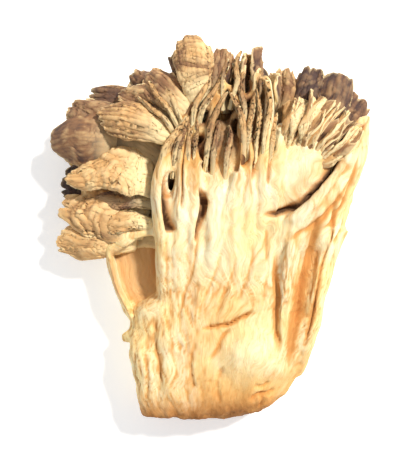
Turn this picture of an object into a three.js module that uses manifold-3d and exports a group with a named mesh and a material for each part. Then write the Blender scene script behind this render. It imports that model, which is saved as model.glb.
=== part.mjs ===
// A dried maitake (hen of the woods) cluster lying on its back: a broad pale stem that divides into
// flat strands, and the strands widen into curled, overlapping fronds. It grew as one piece, so it is
// one solid. Millimetres, +Z up, +Y from the cut foot of the stem to the crown of fronds.
import * as THREE from "three";
import { mergeVertices } from "three/addons/utils/BufferGeometryUtils.js";
import Module from "manifold-3d";

const wasm = await Module();
wasm.setup();

// Driving dimensions. The cluster is drawn on axes of its own and then brought to this box.
const WIDTH = 72; // across the left fronds and the right crown
const LENGTH = 84; // from the foot of the stem to the highest frond
const DEPTH = 22; // height above the surface that it lies on

// How finely the soft forms are divided.
const STRAND_SIDES = 8;
const STRAND_STEPS = 5;
const TRUNK_SIDES = 20;
const FROND_STEPS = 4;
const FROND_ACROSS = 4;
const RIM = 0.5; // share of a frond's thickness that is left at its rim
const UP = [0, 0, 1];

const toVector = ([x, y, z]) => new THREE.Vector3(x, y, z);

// A value along a list of evenly spaced stations, at t from 0 to 1.
function along(stations, t) {
  const place = THREE.MathUtils.clamp(t, 0, 1) * (stations.length - 1);
  const first = Math.min(Math.floor(place), stations.length - 2);
  return THREE.MathUtils.lerp(stations[first], stations[first + 1], place - first);
}

// The point of a spine at t, the direction that it faces there and the direction across it.
function frameAt(spine, t, face) {
  const tangent = spine.getTangent(t);
  const normal = toVector(face);
  normal.addScaledVector(tangent, -normal.dot(tangent)).normalize();
  const across = new THREE.Vector3().crossVectors(normal, tangent);
  return { point: spine.getPoint(t), normal, across };
}

// A closed geometry as a solid that can be joined or cut.
function solid(geometry) {
  geometry.deleteAttribute("normal");
  geometry.deleteAttribute("uv");
  const merged = mergeVertices(geometry, 1e-4);
  const mesh = new wasm.Mesh({
    numProp: 3,
    vertProperties: merged.attributes.position.array,
    triVerts: new Uint32Array(merged.index.array),
  });
  return new wasm.Manifold(mesh);
}

// Moves every vertex of a geometry to the place that a rule gives for it.
function shaped(geometry, rule) {
  const position = geometry.attributes.position;
  for (let i = 0; i < position.count; i += 1) {
    const moved = rule(position.getX(i), position.getY(i), position.getZ(i));
    position.setXYZ(i, moved.x, moved.y, moved.z);
  }
  return solid(geometry);
}

// A strand of stem: an oval tube along a spine. widths and depths are its half sizes along the spine.
function strand({ spine, widths, depths, face = UP, steps = STRAND_STEPS }) {
  const curve = new THREE.CatmullRomCurve3(spine.map(toVector));
  const tube = new THREE.CylinderGeometry(1, 1, 1, STRAND_SIDES, steps);
  return shaped(tube, (x, y, z) => {
    const t = y + 0.5;
    const { point, normal, across } = frameAt(curve, t, face);
    return point
      .addScaledVector(across, z * along(widths, t))
      .addScaledVector(normal, x * along(depths, t));
  });
}

// A frond: a curved sheet that widens from its root and ends in a rounded rim. widths are half widths,
// arch is the half angle that its section bends through, ruffle the height of the waves at its rim.
function frond({
  spine,
  widths,
  face = UP,
  arch = 0.5,
  thick = [2.4, 1.4],
  round = 0.22,
  ruffle = 0,
  waves = 1.5,
  phase = 0,
}) {
  const curve = new THREE.CatmullRomCurve3(spine.map(toVector));
  const slab = new THREE.BoxGeometry(1, 1, 1, FROND_STEPS, FROND_ACROSS, 1);
  return shaped(slab, (x, y, z) => {
    const v = 2 * y;
    const t = (x + 0.5) * (1 - round * Math.abs(v) ** 2.5);
    const { point, normal, across } = frameAt(curve, t, face);
    const radius = along(widths, t) / arch;
    const wave = ruffle * t * t * Math.sin(2 * Math.PI * (waves * y + phase));
    const rim = THREE.MathUtils.lerp(1, RIM, Math.abs(v) ** 3);
    const rise = radius * (Math.cos(arch * v) - 1) + wave + z * along(thick, t) * rim;
    return point
      .addScaledVector(across, radius * Math.sin(arch * v))
      .addScaledVector(normal, rise);
  });
}

// The trunk: one broad loft from the cut foot to the throat that the strands leave from. Each station
// has its place along the length, its left and right edges, and its lowest and highest points. A low
// point under zero gives the flat that the trunk lies on.
function trunk() {
  const stations = [
    [-42.3, -17, 8, -0.6, 14.4], [-38.6, -17.3, 14.8, -1, 15.2], [-34, -17.8, 18, -1.4, 16],
    [-29, -19, 20.8, -1.6, 16.4], [-24, -20.4, 22.6, -1.6, 16.6], [-18, -20.4, 24, -1.4, 16.8],
    [-11, -22.9, 25, -1, 16.8], [-5, -24.2, 27, -0.4, 16.4], [1, -16, 29.6, 0.4, 15.8],
    [8, -14, 30.6, 1.8, 14.6], [15, -11, 29, 4, 12.6],
  ];
  const [places, lefts, rights, lows, highs] = [0, 1, 2, 3, 4].map((k) => stations.map((row) => row[k]));
  const FULLNESS = 0.8; // 1 is an ellipse, less is squarer
  const full = (value) => Math.sign(value) * Math.abs(value) ** FULLNESS;
  const tube = new THREE.CylinderGeometry(1, 1, 1, TRUNK_SIDES, stations.length - 1);
  const between = (low, high, t, share) =>
    THREE.MathUtils.mapLinear(share, -1, 1, along(low, t), along(high, t));
  const body = shaped(tube, (x, y, z) => {
    const t = y + 0.5;
    const [side, rise] = [between(lefts, rights, t, full(x)), between(lows, highs, t, full(z))];
    return new THREE.Vector3(side, along(places, t), rise);
  });
  const bulge = strand({
    spine: [[3, -37, 9], [6.8, -28, 11], [8, -20, 11]],
    widths: [6, 8.5, 7],
    depths: [4, 6, 5],
  });
  const bump = strand({
    spine: [[-14, -22.5, 8], [-18.5, -23.6, 8.6], [-21.4, -24.6, 8.6]],
    widths: [4, 2.6, 1],
    depths: [4, 2.8, 1],
  });
  return [body, bulge, bump];
}

// The recess between the left edge of the stem and the first strand, narrow towards the foot.
function pocket() {
  return strand({
    spine: [[-13.5, -18.5, 17], [-17.2, -10, 16.4], [-18, -2, 16.2]],
    widths: [1, 3.6, 5],
    depths: [4, 5.6, 5.6],
    steps: 2,
  });
}

// The strands that the stem divides into, from left to right.
function strands() {
  return [
    strand({
      spine: [[-18.4, -19, 10], [-21.6, -12, 11.4], [-22.6, -4.6, 12.6], [-14.5, 0.4, 14]],
      widths: [2, 1.6, 1.5, 1.6],
      depths: [4, 4, 3.6, 2.6],
    }),
    strand({
      spine: [[-9, -20, 12], [-12, -9, 14], [-13, 3, 15], [-12.6, 11, 16], [-7.6, 20.2, 18], [-3.6, 25.4, 18.5]],
      widths: [4, 2.8, 2.1, 1.6, 1.4, 1.8],
      depths: [4, 3.8, 3.4, 2.8, 2.2, 2],
    }),
    strand({
      spine: [[-5.5, -16, 12.5], [-6.6, -4, 15], [-7.2, 8, 16.4], [-5.8, 18, 17], [-3, 26, 17]],
      widths: [3.4, 3, 2.6, 2.2, 2],
      depths: [4, 3.8, 3.4, 2.8, 2.4],
    }),
    strand({
      spine: [[0, -16, 13], [0.4, -4, 15.5], [1, 7, 16], [1.6, 13, 15.4]],
      widths: [3.6, 3, 2.6, 2.4],
      depths: [4, 4, 3.4, 2.6],
    }),
    strand({
      spine: [[5, -17, 12], [6, -3, 15.6], [6.6, 9, 16.6], [6, 19, 17], [4.8, 26, 17.6], [1, 29.6, 18.4]],
      widths: [4, 3.4, 2.6, 1.5, 1.2, 1.4],
      depths: [4, 4, 3.6, 2.8, 2.2, 1.8],
    }),
    strand({
      spine: [[9.6, -12, 12], [10, 3, 15.8], [10.3, 13, 16.6], [10, 23, 17], [9.2, 30, 17.6]],
      widths: [4, 3.4, 2.6, 1.7, 1.5],
      depths: [4, 4, 3.6, 2.8, 2.2],
    }),
    strand({
      spine: [[14, -12, 11], [14, 5, 15], [13.7, 17, 16.6], [12.6, 26, 18.4], [11.2, 31, 19.6]],
      widths: [4, 3.4, 2.2, 1.4, 1],
      depths: [4, 4, 3.6, 2.4, 1.6],
    }),
  ];
}

// The stacked caps on the left, from the crown down to the foot, with the ones behind them.
function leftFronds() {
  return [
    frond({
      spine: [[-9.9, 19.6, 15], [-16, 21.4, 17.6], [-21, 22.6, 17], [-26, 22.6, 14.6]],
      widths: [2, 3.6, 3.8, 2.8],
      face: [0, -0.3, 1],
      arch: 0.7,
    }),
    frond({
      spine: [[-18, 15, 9], [-26, 18, 13.4], [-32, 18.4, 12.4], [-37.2, 18, 8]],
      widths: [5, 6.4, 6.6, 4.6],
      face: [-0.2, -0.1, 1],
      arch: 0.8,
    }),
    frond({
      spine: [[-13.2, 11.5, 12], [-20, 12.6, 15], [-26, 11.6, 14.4], [-32.8, 10.4, 12.4]],
      widths: [5, 5.2, 3.6, 1.4],
      face: [-0.1, -0.3, 1],
      arch: 0.4,
      round: 0.1,
    }),
    frond({
      spine: [[-13, 4, 9.6], [-21, 4.8, 12.6], [-28, 4.8, 12.4], [-34.8, 4.6, 9]],
      widths: [4, 5.6, 6.4, 5.4],
      face: [-0.1, -0.3, 1],
      arch: 0.7,
    }),
    frond({
      spine: [[-16, -1.4, 9.6], [-24, -3, 12.8], [-30, -3.6, 12.2], [-36, -3.2, 9]],
      widths: [2.8, 3.9, 4.1, 3.2],
      face: [-0.1, -0.2, 1],
      arch: 0.8,
    }),
    frond({
      spine: [[-6, 10, 7.4], [-17, 14, 6.6], [-26, 17, 5.4], [-33.6, 20, 4]],
      widths: [7, 9, 9.4, 6],
      face: [0.1, -0.1, -1],
      ruffle: 1.2,
      thick: [4, 1.6],
    }),
    frond({
      spine: [[-8, 0, 7], [-18, 0.8, 6.4], [-26, 0, 5.2], [-33.2, -1.6, 4]],
      widths: [5.6, 7, 7.4, 4.8],
      face: [0.1, 0.1, -1],
      ruffle: 1.2,
      thick: [4, 1.6],
    }),
  ];
}

// The fronds between the left stack and the top plates, with the tallest cap among them.
function upperFronds() {
  return [
    frond({
      spine: [[-8, 15, 8.6], [-16, 21.6, 10.6], [-23, 25.4, 10.6], [-30.2, 26.4, 8]],
      widths: [5, 5.4, 5, 3.4],
      face: [-0.1, 0.1, 1],
      arch: 0.6,
    }),
    frond({
      spine: [[-4, 16, 9.4], [-10, 24, 11.4], [-14.4, 29.4, 11.4], [-18.4, 33, 8.6]],
      widths: [5, 6, 6, 4.4],
      face: [-0.2, 0.3, 1],
      arch: 0.6,
    }),
    frond({
      spine: [[-4.5, 23.5, 17], [-9, 27, 18.4], [-13, 30.6, 16.6], [-15.6, 33.2, 13]],
      widths: [2.4, 4, 5, 3.8],
      face: [-0.1, 0.2, 1],
    }),
    frond({
      spine: [[-8, 21, 16], [-12.5, 24.8, 16.6], [-17, 27.6, 15], [-21.6, 29.6, 11.4]],
      widths: [1.8, 3, 3.6, 2.8],
      face: [-0.1, 0.1, 1],
    }),
    frond({
      spine: [[-3.4, 25, 17], [-4.2, 31, 19.8], [-4.9, 36, 20.4], [-5.6, 41.2, 16.8]],
      widths: [2.2, 4, 5, 4.2],
      face: [0.1, -0.15, 1],
    }),
    frond({
      spine: [[-2, 22, 12.4], [-6, 30, 14], [-9, 38, 12.4]],
      widths: [3, 4, 3.4],
      face: [-0.7, 0, 0.7],
      arch: 0.4,
    }),
    frond({
      spine: [[-1.5, 25, 15.6], [0.6, 32, 18.4], [1.8, 38, 16.4]],
      widths: [2.2, 3, 2.8],
      face: [0.2, -0.1, 1],
      arch: 0.4,
    }),
    frond({
      spine: [[1.4, 8, 15], [0.6, 15, 17], [0.8, 20, 17.2], [1, 24, 14.4]],
      widths: [2.4, 3.2, 3.6, 2.8],
      arch: 0.6,
    }),
  ];
}

// Narrow plates that stand on edge along the top of the crown, with dark gaps between them.
function topPlates() {
  const places = [
    { root: 3.4, tip: [4, 38.6], lean: 0.2 },
    { root: 6, tip: [6.8, 37.6], lean: -0.1 },
    { root: 8.8, tip: [9.6, 39.6], lean: 0.25 },
    { root: 13.6, tip: [15.4, 34.6], lean: -0.35 },
  ];
  const FOOT = 17; // where the plates leave the throat
  return places.map(({ root, tip, lean }, i) =>
    frond({
      spine: [[root, FOOT, 9], [(root + tip[0]) / 2, (FOOT + tip[1]) / 2, 11.6], [...tip, 12.6]],
      widths: [4, 5.2, 4.4],
      face: [1, 0, lean],
      arch: 0.3,
      thick: [2.6, 1.6],
      ruffle: 0.8,
      phase: 0.3 * i,
    }),
  );
}

// The broad sheet on the right with its folded flap, and the fan of wavy plates along its edge.
function rightCrown() {
  const sheet = frond({
    spine: [[9, -6, 11], [14.4, 5, 14.6], [18.4, 14, 16], [22.4, 23, 14.4]],
    widths: [4, 7, 8, 8.6],
    face: [-0.2, 0.1, 1],
    thick: [5, 3],
  });
  const flap = frond({
    spine: [[13, -16, 11], [19, -5, 14.4], [24, 3.4, 16], [28.6, 12, 15.6], [33.8, 22.6, 13]],
    widths: [5, 6.2, 6, 4.6, 2.2],
    face: [0.2, -0.1, 1],
    arch: 0.4,
    thick: [4, 2],
    round: 0.1,
  });
  const PLATES = 6;
  const HUB = [19.2, 11.6];
  const fan = Array.from({ length: PLATES }, (_, i) => {
    const share = i / (PLATES - 1);
    const angle = THREE.MathUtils.degToRad(THREE.MathUtils.lerp(100, 40, share));
    const [dx, dy] = [Math.cos(angle), Math.sin(angle)];
    const at = (radius, z) => [HUB[0] + radius * dx, HUB[1] + radius * dy, z];
    return frond({
      spine: [at(2, 10), at(13, 13.4), at(22.6 - 3 * share, 13)],
      widths: [4, 5.6, 4.8],
      face: [-dy, dx, 0.2 * Math.cos(7 * i)],
      arch: 0.3,
      thick: [3, 1.7],
      ruffle: 0.9,
      phase: 0.37 * i,
    });
  });
  return [sheet, flap, ...fan];
}

// The caps on the underside, which the cluster lies on.
function underFronds() {
  const caps = [
    { spine: [[6, 0, 6], [7, 14, 1.8], [7, 26, 2.6], [6, 36, 7.4]], widths: [8, 10, 10, 7.5], phase: 0 },
    { spine: [[12, -6, 6], [20, 8, 2.2], [25.6, 19, 3.2], [30, 27.6, 8]], widths: [7, 9, 9, 6.4], phase: 0.4 },
    { spine: [[0, 0, 6], [-7, 12, 2.2], [-11, 23, 2.8], [-13.6, 32, 7.6]], widths: [7, 9, 9, 6.4], phase: 0.2 },
  ];
  return caps.map((cap) => frond({ ...cap, face: [0, 0, -1], ruffle: 1.2, thick: [4, 1.8] }));
}

// Everything joined into one body, flattened where it lies on the surface.
function cluster() {
  const stem = wasm.Manifold.union(trunk()).subtract(pocket());
  const grown = wasm.Manifold.union([
    stem,
    ...strands(),
    ...leftFronds(),
    ...upperFronds(),
    ...topPlates(),
    ...rightCrown(),
    ...underFronds(),
  ]);
  const surface = new THREE.BoxGeometry(2 * WIDTH, 2 * LENGTH, DEPTH);
  surface.translate(0, 0, -DEPTH / 2);
  const bodies = grown.subtract(solid(surface)).decompose();
  return bodies.reduce((largest, body) => (body.volume() > largest.volume() ? body : largest));
}

// A body's mesh as a geometry, centred over the origin and brought to the driving dimensions.
function geometryOf(body) {
  const mesh = body.getMesh();
  const geometry = new THREE.BufferGeometry();
  geometry.setAttribute("position", new THREE.BufferAttribute(mesh.vertProperties, 3));
  geometry.setIndex(new THREE.BufferAttribute(mesh.triVerts, 1));
  geometry.computeBoundingBox();
  const box = geometry.boundingBox;
  const size = box.getSize(new THREE.Vector3());
  const centre = box.getCenter(new THREE.Vector3());
  geometry.translate(-centre.x, -centre.y, -box.min.z);
  geometry.scale(WIDTH / size.x, LENGTH / size.y, DEPTH / size.z);
  geometry.computeVertexNormals();
  return geometry;
}

const flesh = new THREE.MeshStandardMaterial({ color: 0xdcbf8c, roughness: 0.85, metalness: 0 });
const maitake = new THREE.Mesh(geometryOf(cluster()), flesh);
maitake.name = "maitake_cluster";

const part = new THREE.Group();
part.add(maitake);
export default part;
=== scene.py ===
"""A dried maitake cluster lying on its back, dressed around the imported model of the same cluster.

The cluster is drawn on axes of its own, in millimetres: +X to the right, +Y from the cut foot of the stem
to the crown of fronds, +Z up from the surface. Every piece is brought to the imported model's box at the end.
"""

from __future__ import annotations

import logging
import math
from dataclasses import dataclass, field
from enum import Enum
from typing import Iterable, Sequence, Union

import bmesh
import bpy
import numpy as np
from mathutils import Euler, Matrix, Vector
from mathutils.bvhtree import BVHTree
from mathutils.kdtree import KDTree


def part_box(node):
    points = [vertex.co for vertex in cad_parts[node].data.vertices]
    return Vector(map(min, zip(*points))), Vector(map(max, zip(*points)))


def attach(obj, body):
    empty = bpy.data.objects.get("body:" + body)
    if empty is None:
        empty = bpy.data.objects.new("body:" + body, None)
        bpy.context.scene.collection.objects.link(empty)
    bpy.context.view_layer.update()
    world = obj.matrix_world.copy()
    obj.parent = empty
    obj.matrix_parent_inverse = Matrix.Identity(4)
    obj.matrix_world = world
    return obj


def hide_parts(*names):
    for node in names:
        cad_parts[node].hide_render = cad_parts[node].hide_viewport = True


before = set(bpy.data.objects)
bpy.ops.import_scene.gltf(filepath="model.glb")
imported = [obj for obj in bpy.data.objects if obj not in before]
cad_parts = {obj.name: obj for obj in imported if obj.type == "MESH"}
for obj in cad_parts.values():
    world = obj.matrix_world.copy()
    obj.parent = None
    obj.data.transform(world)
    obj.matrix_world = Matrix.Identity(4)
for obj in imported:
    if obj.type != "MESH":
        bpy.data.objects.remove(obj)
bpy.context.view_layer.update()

NODE = "maitake_cluster"
BODY = "root"
LOG = logging.getLogger("maitake")

Spot = tuple[float, float]
Point = tuple[float, float, float]
Station = tuple[float, float, float, float, float]
Colour = tuple[float, float, float, float]
Number = Union[float, "Value"]
Paint = Union[Colour, bpy.types.NodeSocket]
UP: Point = (0.0, 0.0, 1.0)

# The box that the cluster is drawn in, in its own millimetres.
DRAWN_LOW = np.array((-37.64, -42.3, 0.0))
DRAWN_HIGH = np.array((35.23, 41.6, 21.37))


# ---------------------------------------------------------------------------------------------------------
# Numbers: splines, easing and noise
# ---------------------------------------------------------------------------------------------------------


def spline(stations: Sequence, t: np.ndarray) -> np.ndarray:
    """A smooth curve through evenly spaced stations.

    Args:
        stations: Points or numbers, at least two.
        t: Places from 0 at the first station to 1 at the last.

    Returns:
        One row for each place, or one number where the stations are numbers.
    """
    rows = np.asarray(stations, float)
    flat = rows.ndim == 1
    if flat:
        rows = rows[:, None]
    rows = np.vstack([2 * rows[0] - rows[1], rows, 2 * rows[-1] - rows[-2]])
    spans = len(rows) - 3
    place = np.clip(t, 0, 1) * spans
    first = np.minimum(place.astype(int), spans - 1)
    f = (place - first)[:, None]
    a, b, c, d = (rows[first + k] for k in range(4))
    made = 0.5 * (2 * b + (c - a) * f + (2 * a - 5 * b + 4 * c - d) * f**2 + (3 * b - a - 3 * c + d) * f**3)
    return made[:, 0] if flat else made


def ease(low: float, high: float, x: np.ndarray) -> np.ndarray:
    """Rises smoothly from 0 at low to 1 at high, which may be the lower number of the two."""
    f = np.clip((x - low) / (high - low), 0, 1)
    return f * f * (3 - 2 * f)


def noise(points: np.ndarray, seed: int = 0) -> np.ndarray:
    """Smooth noise from about -1 to 1, with one feature for each unit of length.

    Args:
        points: Places, one to a row.
        seed: Chooses the pattern.

    Returns:
        One number for each place: each corner of an endless grid has a fixed slope, and they are blended.
    """
    cell = np.floor(points).astype(np.int64)
    inside = points - cell
    blend = inside**3 * (inside * (6 * inside - 15) + 10)
    total = np.zeros(len(points))
    for corner in range(8):
        step = np.array((corner & 1, corner >> 1 & 1, corner >> 2))
        x, y, z = (cell + step).T
        h = (x * 374761393 + y * 668265263 + z * 1274126177 + seed * 974711) & 0xFFFFFFFF
        h = ((h ^ (h >> 13)) * 1103515245) & 0xFFFFFFFF
        h = (h ^ (h >> 16))[:, None]
        slope = (h >> np.array((0, 10, 20)) & 1023) / 511.5 - 1
        weight = np.prod(np.where(step, blend, 1 - blend), axis=1)
        total += weight * np.sum(slope * (inside - step), axis=1)
    return 1.7 * total


def rough(points: np.ndarray, octaves: int, seed: int = 0) -> np.ndarray:
    """Noise with finer and finer noise on it.

    Args:
        points: Places, one to a row.
        octaves: How many layers, each at twice the detail and half the height of the last.
        seed: Chooses the pattern.

    Returns:
        One number for each place, from about -1 to 1.
    """
    layers = (noise(points * 2**k, seed + 31 * k) / 2**k for k in range(octaves))
    return sum(layers) / (2 - 0.5 ** (octaves - 1))


def crests(points: np.ndarray, octaves: int, seed: int = 0) -> np.ndarray:
    """Noise with thin sharp ridges and wide hollows, from 0 in the hollows to 1 on the ridges.

    Args:
        points: Places, one to a row.
        octaves: How many layers, each at twice the detail and half the height of the last.
        seed: Chooses the pattern.

    Returns:
        One number for each place.
    """
    total = np.zeros(len(points))
    for k in range(octaves):
        slope = np.minimum(1, 2.4 * np.abs(noise(points * 2**k, seed + 23 * k)))
        total += (1 - slope) ** 1.6 / 2**k
    return total / (2 - 0.5 ** (octaves - 1))


def drift(points: np.ndarray, seed: int, ways: int = 3) -> np.ndarray:
    """Noise in each of some directions.

    Args:
        points: Places, one to a row.
        seed: Chooses the pattern.
        ways: How many directions.

    Returns:
        One row for each place, with one number for each direction.
    """
    return np.column_stack([noise(points + k, seed + k) for k in range(ways)])


def unit(rows: np.ndarray) -> np.ndarray:
    """Each row at a length of 1."""
    return rows / np.maximum(np.linalg.norm(rows, axis=-1, keepdims=True), 1e-9)


def heading(stations: Sequence, t: np.ndarray) -> np.ndarray:
    """The direction of a spline at each place, at a length of 1."""
    step = 1e-3
    return unit(spline(stations, t + step) - spline(stations, t - step))


def squared(rows: np.ndarray, tangent: np.ndarray) -> np.ndarray:
    """Each row turned square to a tangent, at a length of 1."""
    return unit(rows - tangent * np.sum(rows * tangent, axis=1, keepdims=True))


# ---------------------------------------------------------------------------------------------------------
# Meshes: small helpers around Blender's own operators
# ---------------------------------------------------------------------------------------------------------


def deselect() -> None:
    """Leaves nothing selected, so that the next operator acts only on what it is given."""
    if bpy.context.object and bpy.context.object.mode != "OBJECT":
        bpy.ops.object.mode_set(mode="OBJECT")
    bpy.ops.object.select_all(action="DESELECT")


def points_of(piece: bpy.types.Object, what: str = "co") -> np.ndarray:
    """Three numbers of every vertex of a piece.

    Args:
        piece: The mesh object.
        what: Its places, "co", or its normals, "normal".

    Returns:
        One row for each vertex.
    """
    values = np.empty(3 * len(piece.data.vertices), np.float32)
    piece.data.vertices.foreach_get(what, values)
    return values.reshape(-1, 3).astype(float)


def move_points(piece: bpy.types.Object, points: np.ndarray) -> None:
    """Gives every vertex of a piece a new place."""
    piece.data.vertices.foreach_set("co", points.astype(np.float32).ravel())
    piece.data.update()


def store(piece: bpy.types.Object, name: str, values: np.ndarray) -> None:
    """Keeps three numbers for each vertex under a name that the materials read.

    Args:
        piece: The mesh object.
        name: The attribute's name.
        values: One row of three numbers for each vertex.
    """
    attribute = piece.data.attributes.get(name) or piece.data.attributes.new(name, "FLOAT_VECTOR", "POINT")
    attribute.data.foreach_set("vector", values.astype(np.float32).ravel())


def joined(pieces: Sequence[bpy.types.Object], name: str) -> bpy.types.Object:
    """Joins mesh objects into one.

    Args:
        pieces: The objects, at least one.
        name: The new object's name.

    Returns:
        The joined object.
    """
    deselect()
    for piece in pieces:
        piece.select_set(True)
    bpy.context.view_layer.objects.active = pieces[0]
    if len(pieces) > 1:
        bpy.ops.object.join()
    pieces[0].name = name
    pieces[0].data.name = name
    return pieces[0]


def finished(piece: bpy.types.Object, kind: str, **settings: object) -> None:
    """Adds one modifier to a piece and applies it.

    Args:
        piece: The mesh object.
        kind: The modifier's type.
        **settings: The modifier's own settings.
    """
    deselect()
    piece.select_set(True)
    bpy.context.view_layer.objects.active = piece
    modifier = piece.modifiers.new(kind.title(), kind)
    for key, value in settings.items():
        setattr(modifier, key, value)
    bpy.ops.object.modifier_apply(modifier=modifier.name)


class Blanks:
    """The plain closed shapes that strands and fronds are formed from, each modelled once and copied."""

    def __init__(self) -> None:
        """Starts with no blank made."""
        self.kept: dict[tuple, bpy.types.Mesh] = {}

    def slab(self, across: int, along: int) -> bpy.types.Object:
        """A thin slab: a grid extruded by its thickness.

        Args:
            across: Faces from side to side.
            along: Faces from end to end.

        Returns:
            The slab, x and y from -1 to 1, z 0 or 1.
        """
        key = ("slab", across, along)
        if key not in self.kept:
            deselect()
            bpy.ops.mesh.primitive_grid_add(x_subdivisions=across, y_subdivisions=along, size=2)
            bpy.ops.object.mode_set(mode="EDIT")
            bpy.ops.mesh.select_all(action="SELECT")
            bpy.ops.mesh.extrude_region_move(TRANSFORM_OT_translate={"value": UP})
            self._keep(key)
        return self._copy(key)

    def rod(self, sides: int, rings: int) -> bpy.types.Object:
        """A closed rod with rings along it.

        Args:
            sides: Faces around it.
            rings: Rings between its ends.

        Returns:
            The rod, its radius 1 and z from -0.5 to 0.5.
        """
        key = ("rod", sides, rings)
        if key not in self.kept:
            deselect()
            bpy.ops.mesh.primitive_cylinder_add(vertices=sides, radius=1, depth=1, end_fill_type="TRIFAN")
            bpy.ops.object.mode_set(mode="EDIT")
            bpy.ops.mesh.select_mode(type="EDGE")
            bpy.ops.mesh.select_all(action="DESELECT")
            mesh = bmesh.from_edit_mesh(bpy.context.object.data)
            for edge in mesh.edges:
                edge.select_set(abs(edge.verts[0].co.z - edge.verts[1].co.z) > 0.5)
            bmesh.update_edit_mesh(bpy.context.object.data)
            bpy.ops.mesh.subdivide(number_cuts=rings)
            self._keep(key)
        return self._copy(key)

    def _keep(self, key: tuple) -> None:
        """Puts the mesh that was just modelled away.

        Args:
            key: What it is found under later.
        """
        bpy.ops.object.mode_set(mode="OBJECT")
        made = bpy.context.object
        self.kept[key] = made.data
        made.data.use_fake_user = True
        bpy.data.objects.remove(made)

    def _copy(self, key: tuple) -> bpy.types.Object:
        """A new object with its own copy of a blank's mesh.

        Args:
            key: What the blank was put away under.

        Returns:
            The object.
        """
        piece = bpy.data.objects.new("blank", self.kept[key].copy())
        bpy.context.scene.collection.objects.link(piece)
        return piece

    def clear(self) -> None:
        """Deletes the blanks once every piece is formed."""
        for mesh in self.kept.values():
            bpy.data.meshes.remove(mesh)
        self.kept.clear()


BLANKS = Blanks()


# ---------------------------------------------------------------------------------------------------------
# The grown shapes: strands and fronds
# ---------------------------------------------------------------------------------------------------------


@dataclass
class Strand:
    """A strand of stem: an oval rod along a spine.

    Attributes:
        spine: Points that the strand's middle runs through.
        widths: Half widths, evenly spaced along the spine.
        depths: Half depths, evenly spaced along the spine.
        face: The direction that its depth is measured in.
        wander: How far its surface wavers, in mm.
        seed: Chooses the wavering.
    """

    spine: list[Point]
    widths: list[float]
    depths: list[float]
    face: Point = UP
    wander: float = 0.5
    seed: int = 1

    def build(self) -> bpy.types.Object:
        """Forms the strand from a rod."""
        piece = BLANKS.rod(20, 40)
        x, y, z = points_of(piece).T
        t = z + 0.5
        tangent = heading(self.spine, t)
        normal = squared(np.tile(np.array(self.face, float), (len(t), 1)), tangent)
        across = np.cross(tangent, normal)
        place = spline(self.spine, t)
        swell = 1 + 0.12 * noise(np.column_stack([3 * x, 3 * y, 5 * t]), self.seed)
        side = (x * spline(self.widths, t) * swell)[:, None] * across
        rise = (y * spline(self.depths, t) * swell)[:, None] * normal
        move_points(piece, place - side + rise + self.wander * drift(place / 6, self.seed))
        return piece


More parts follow.
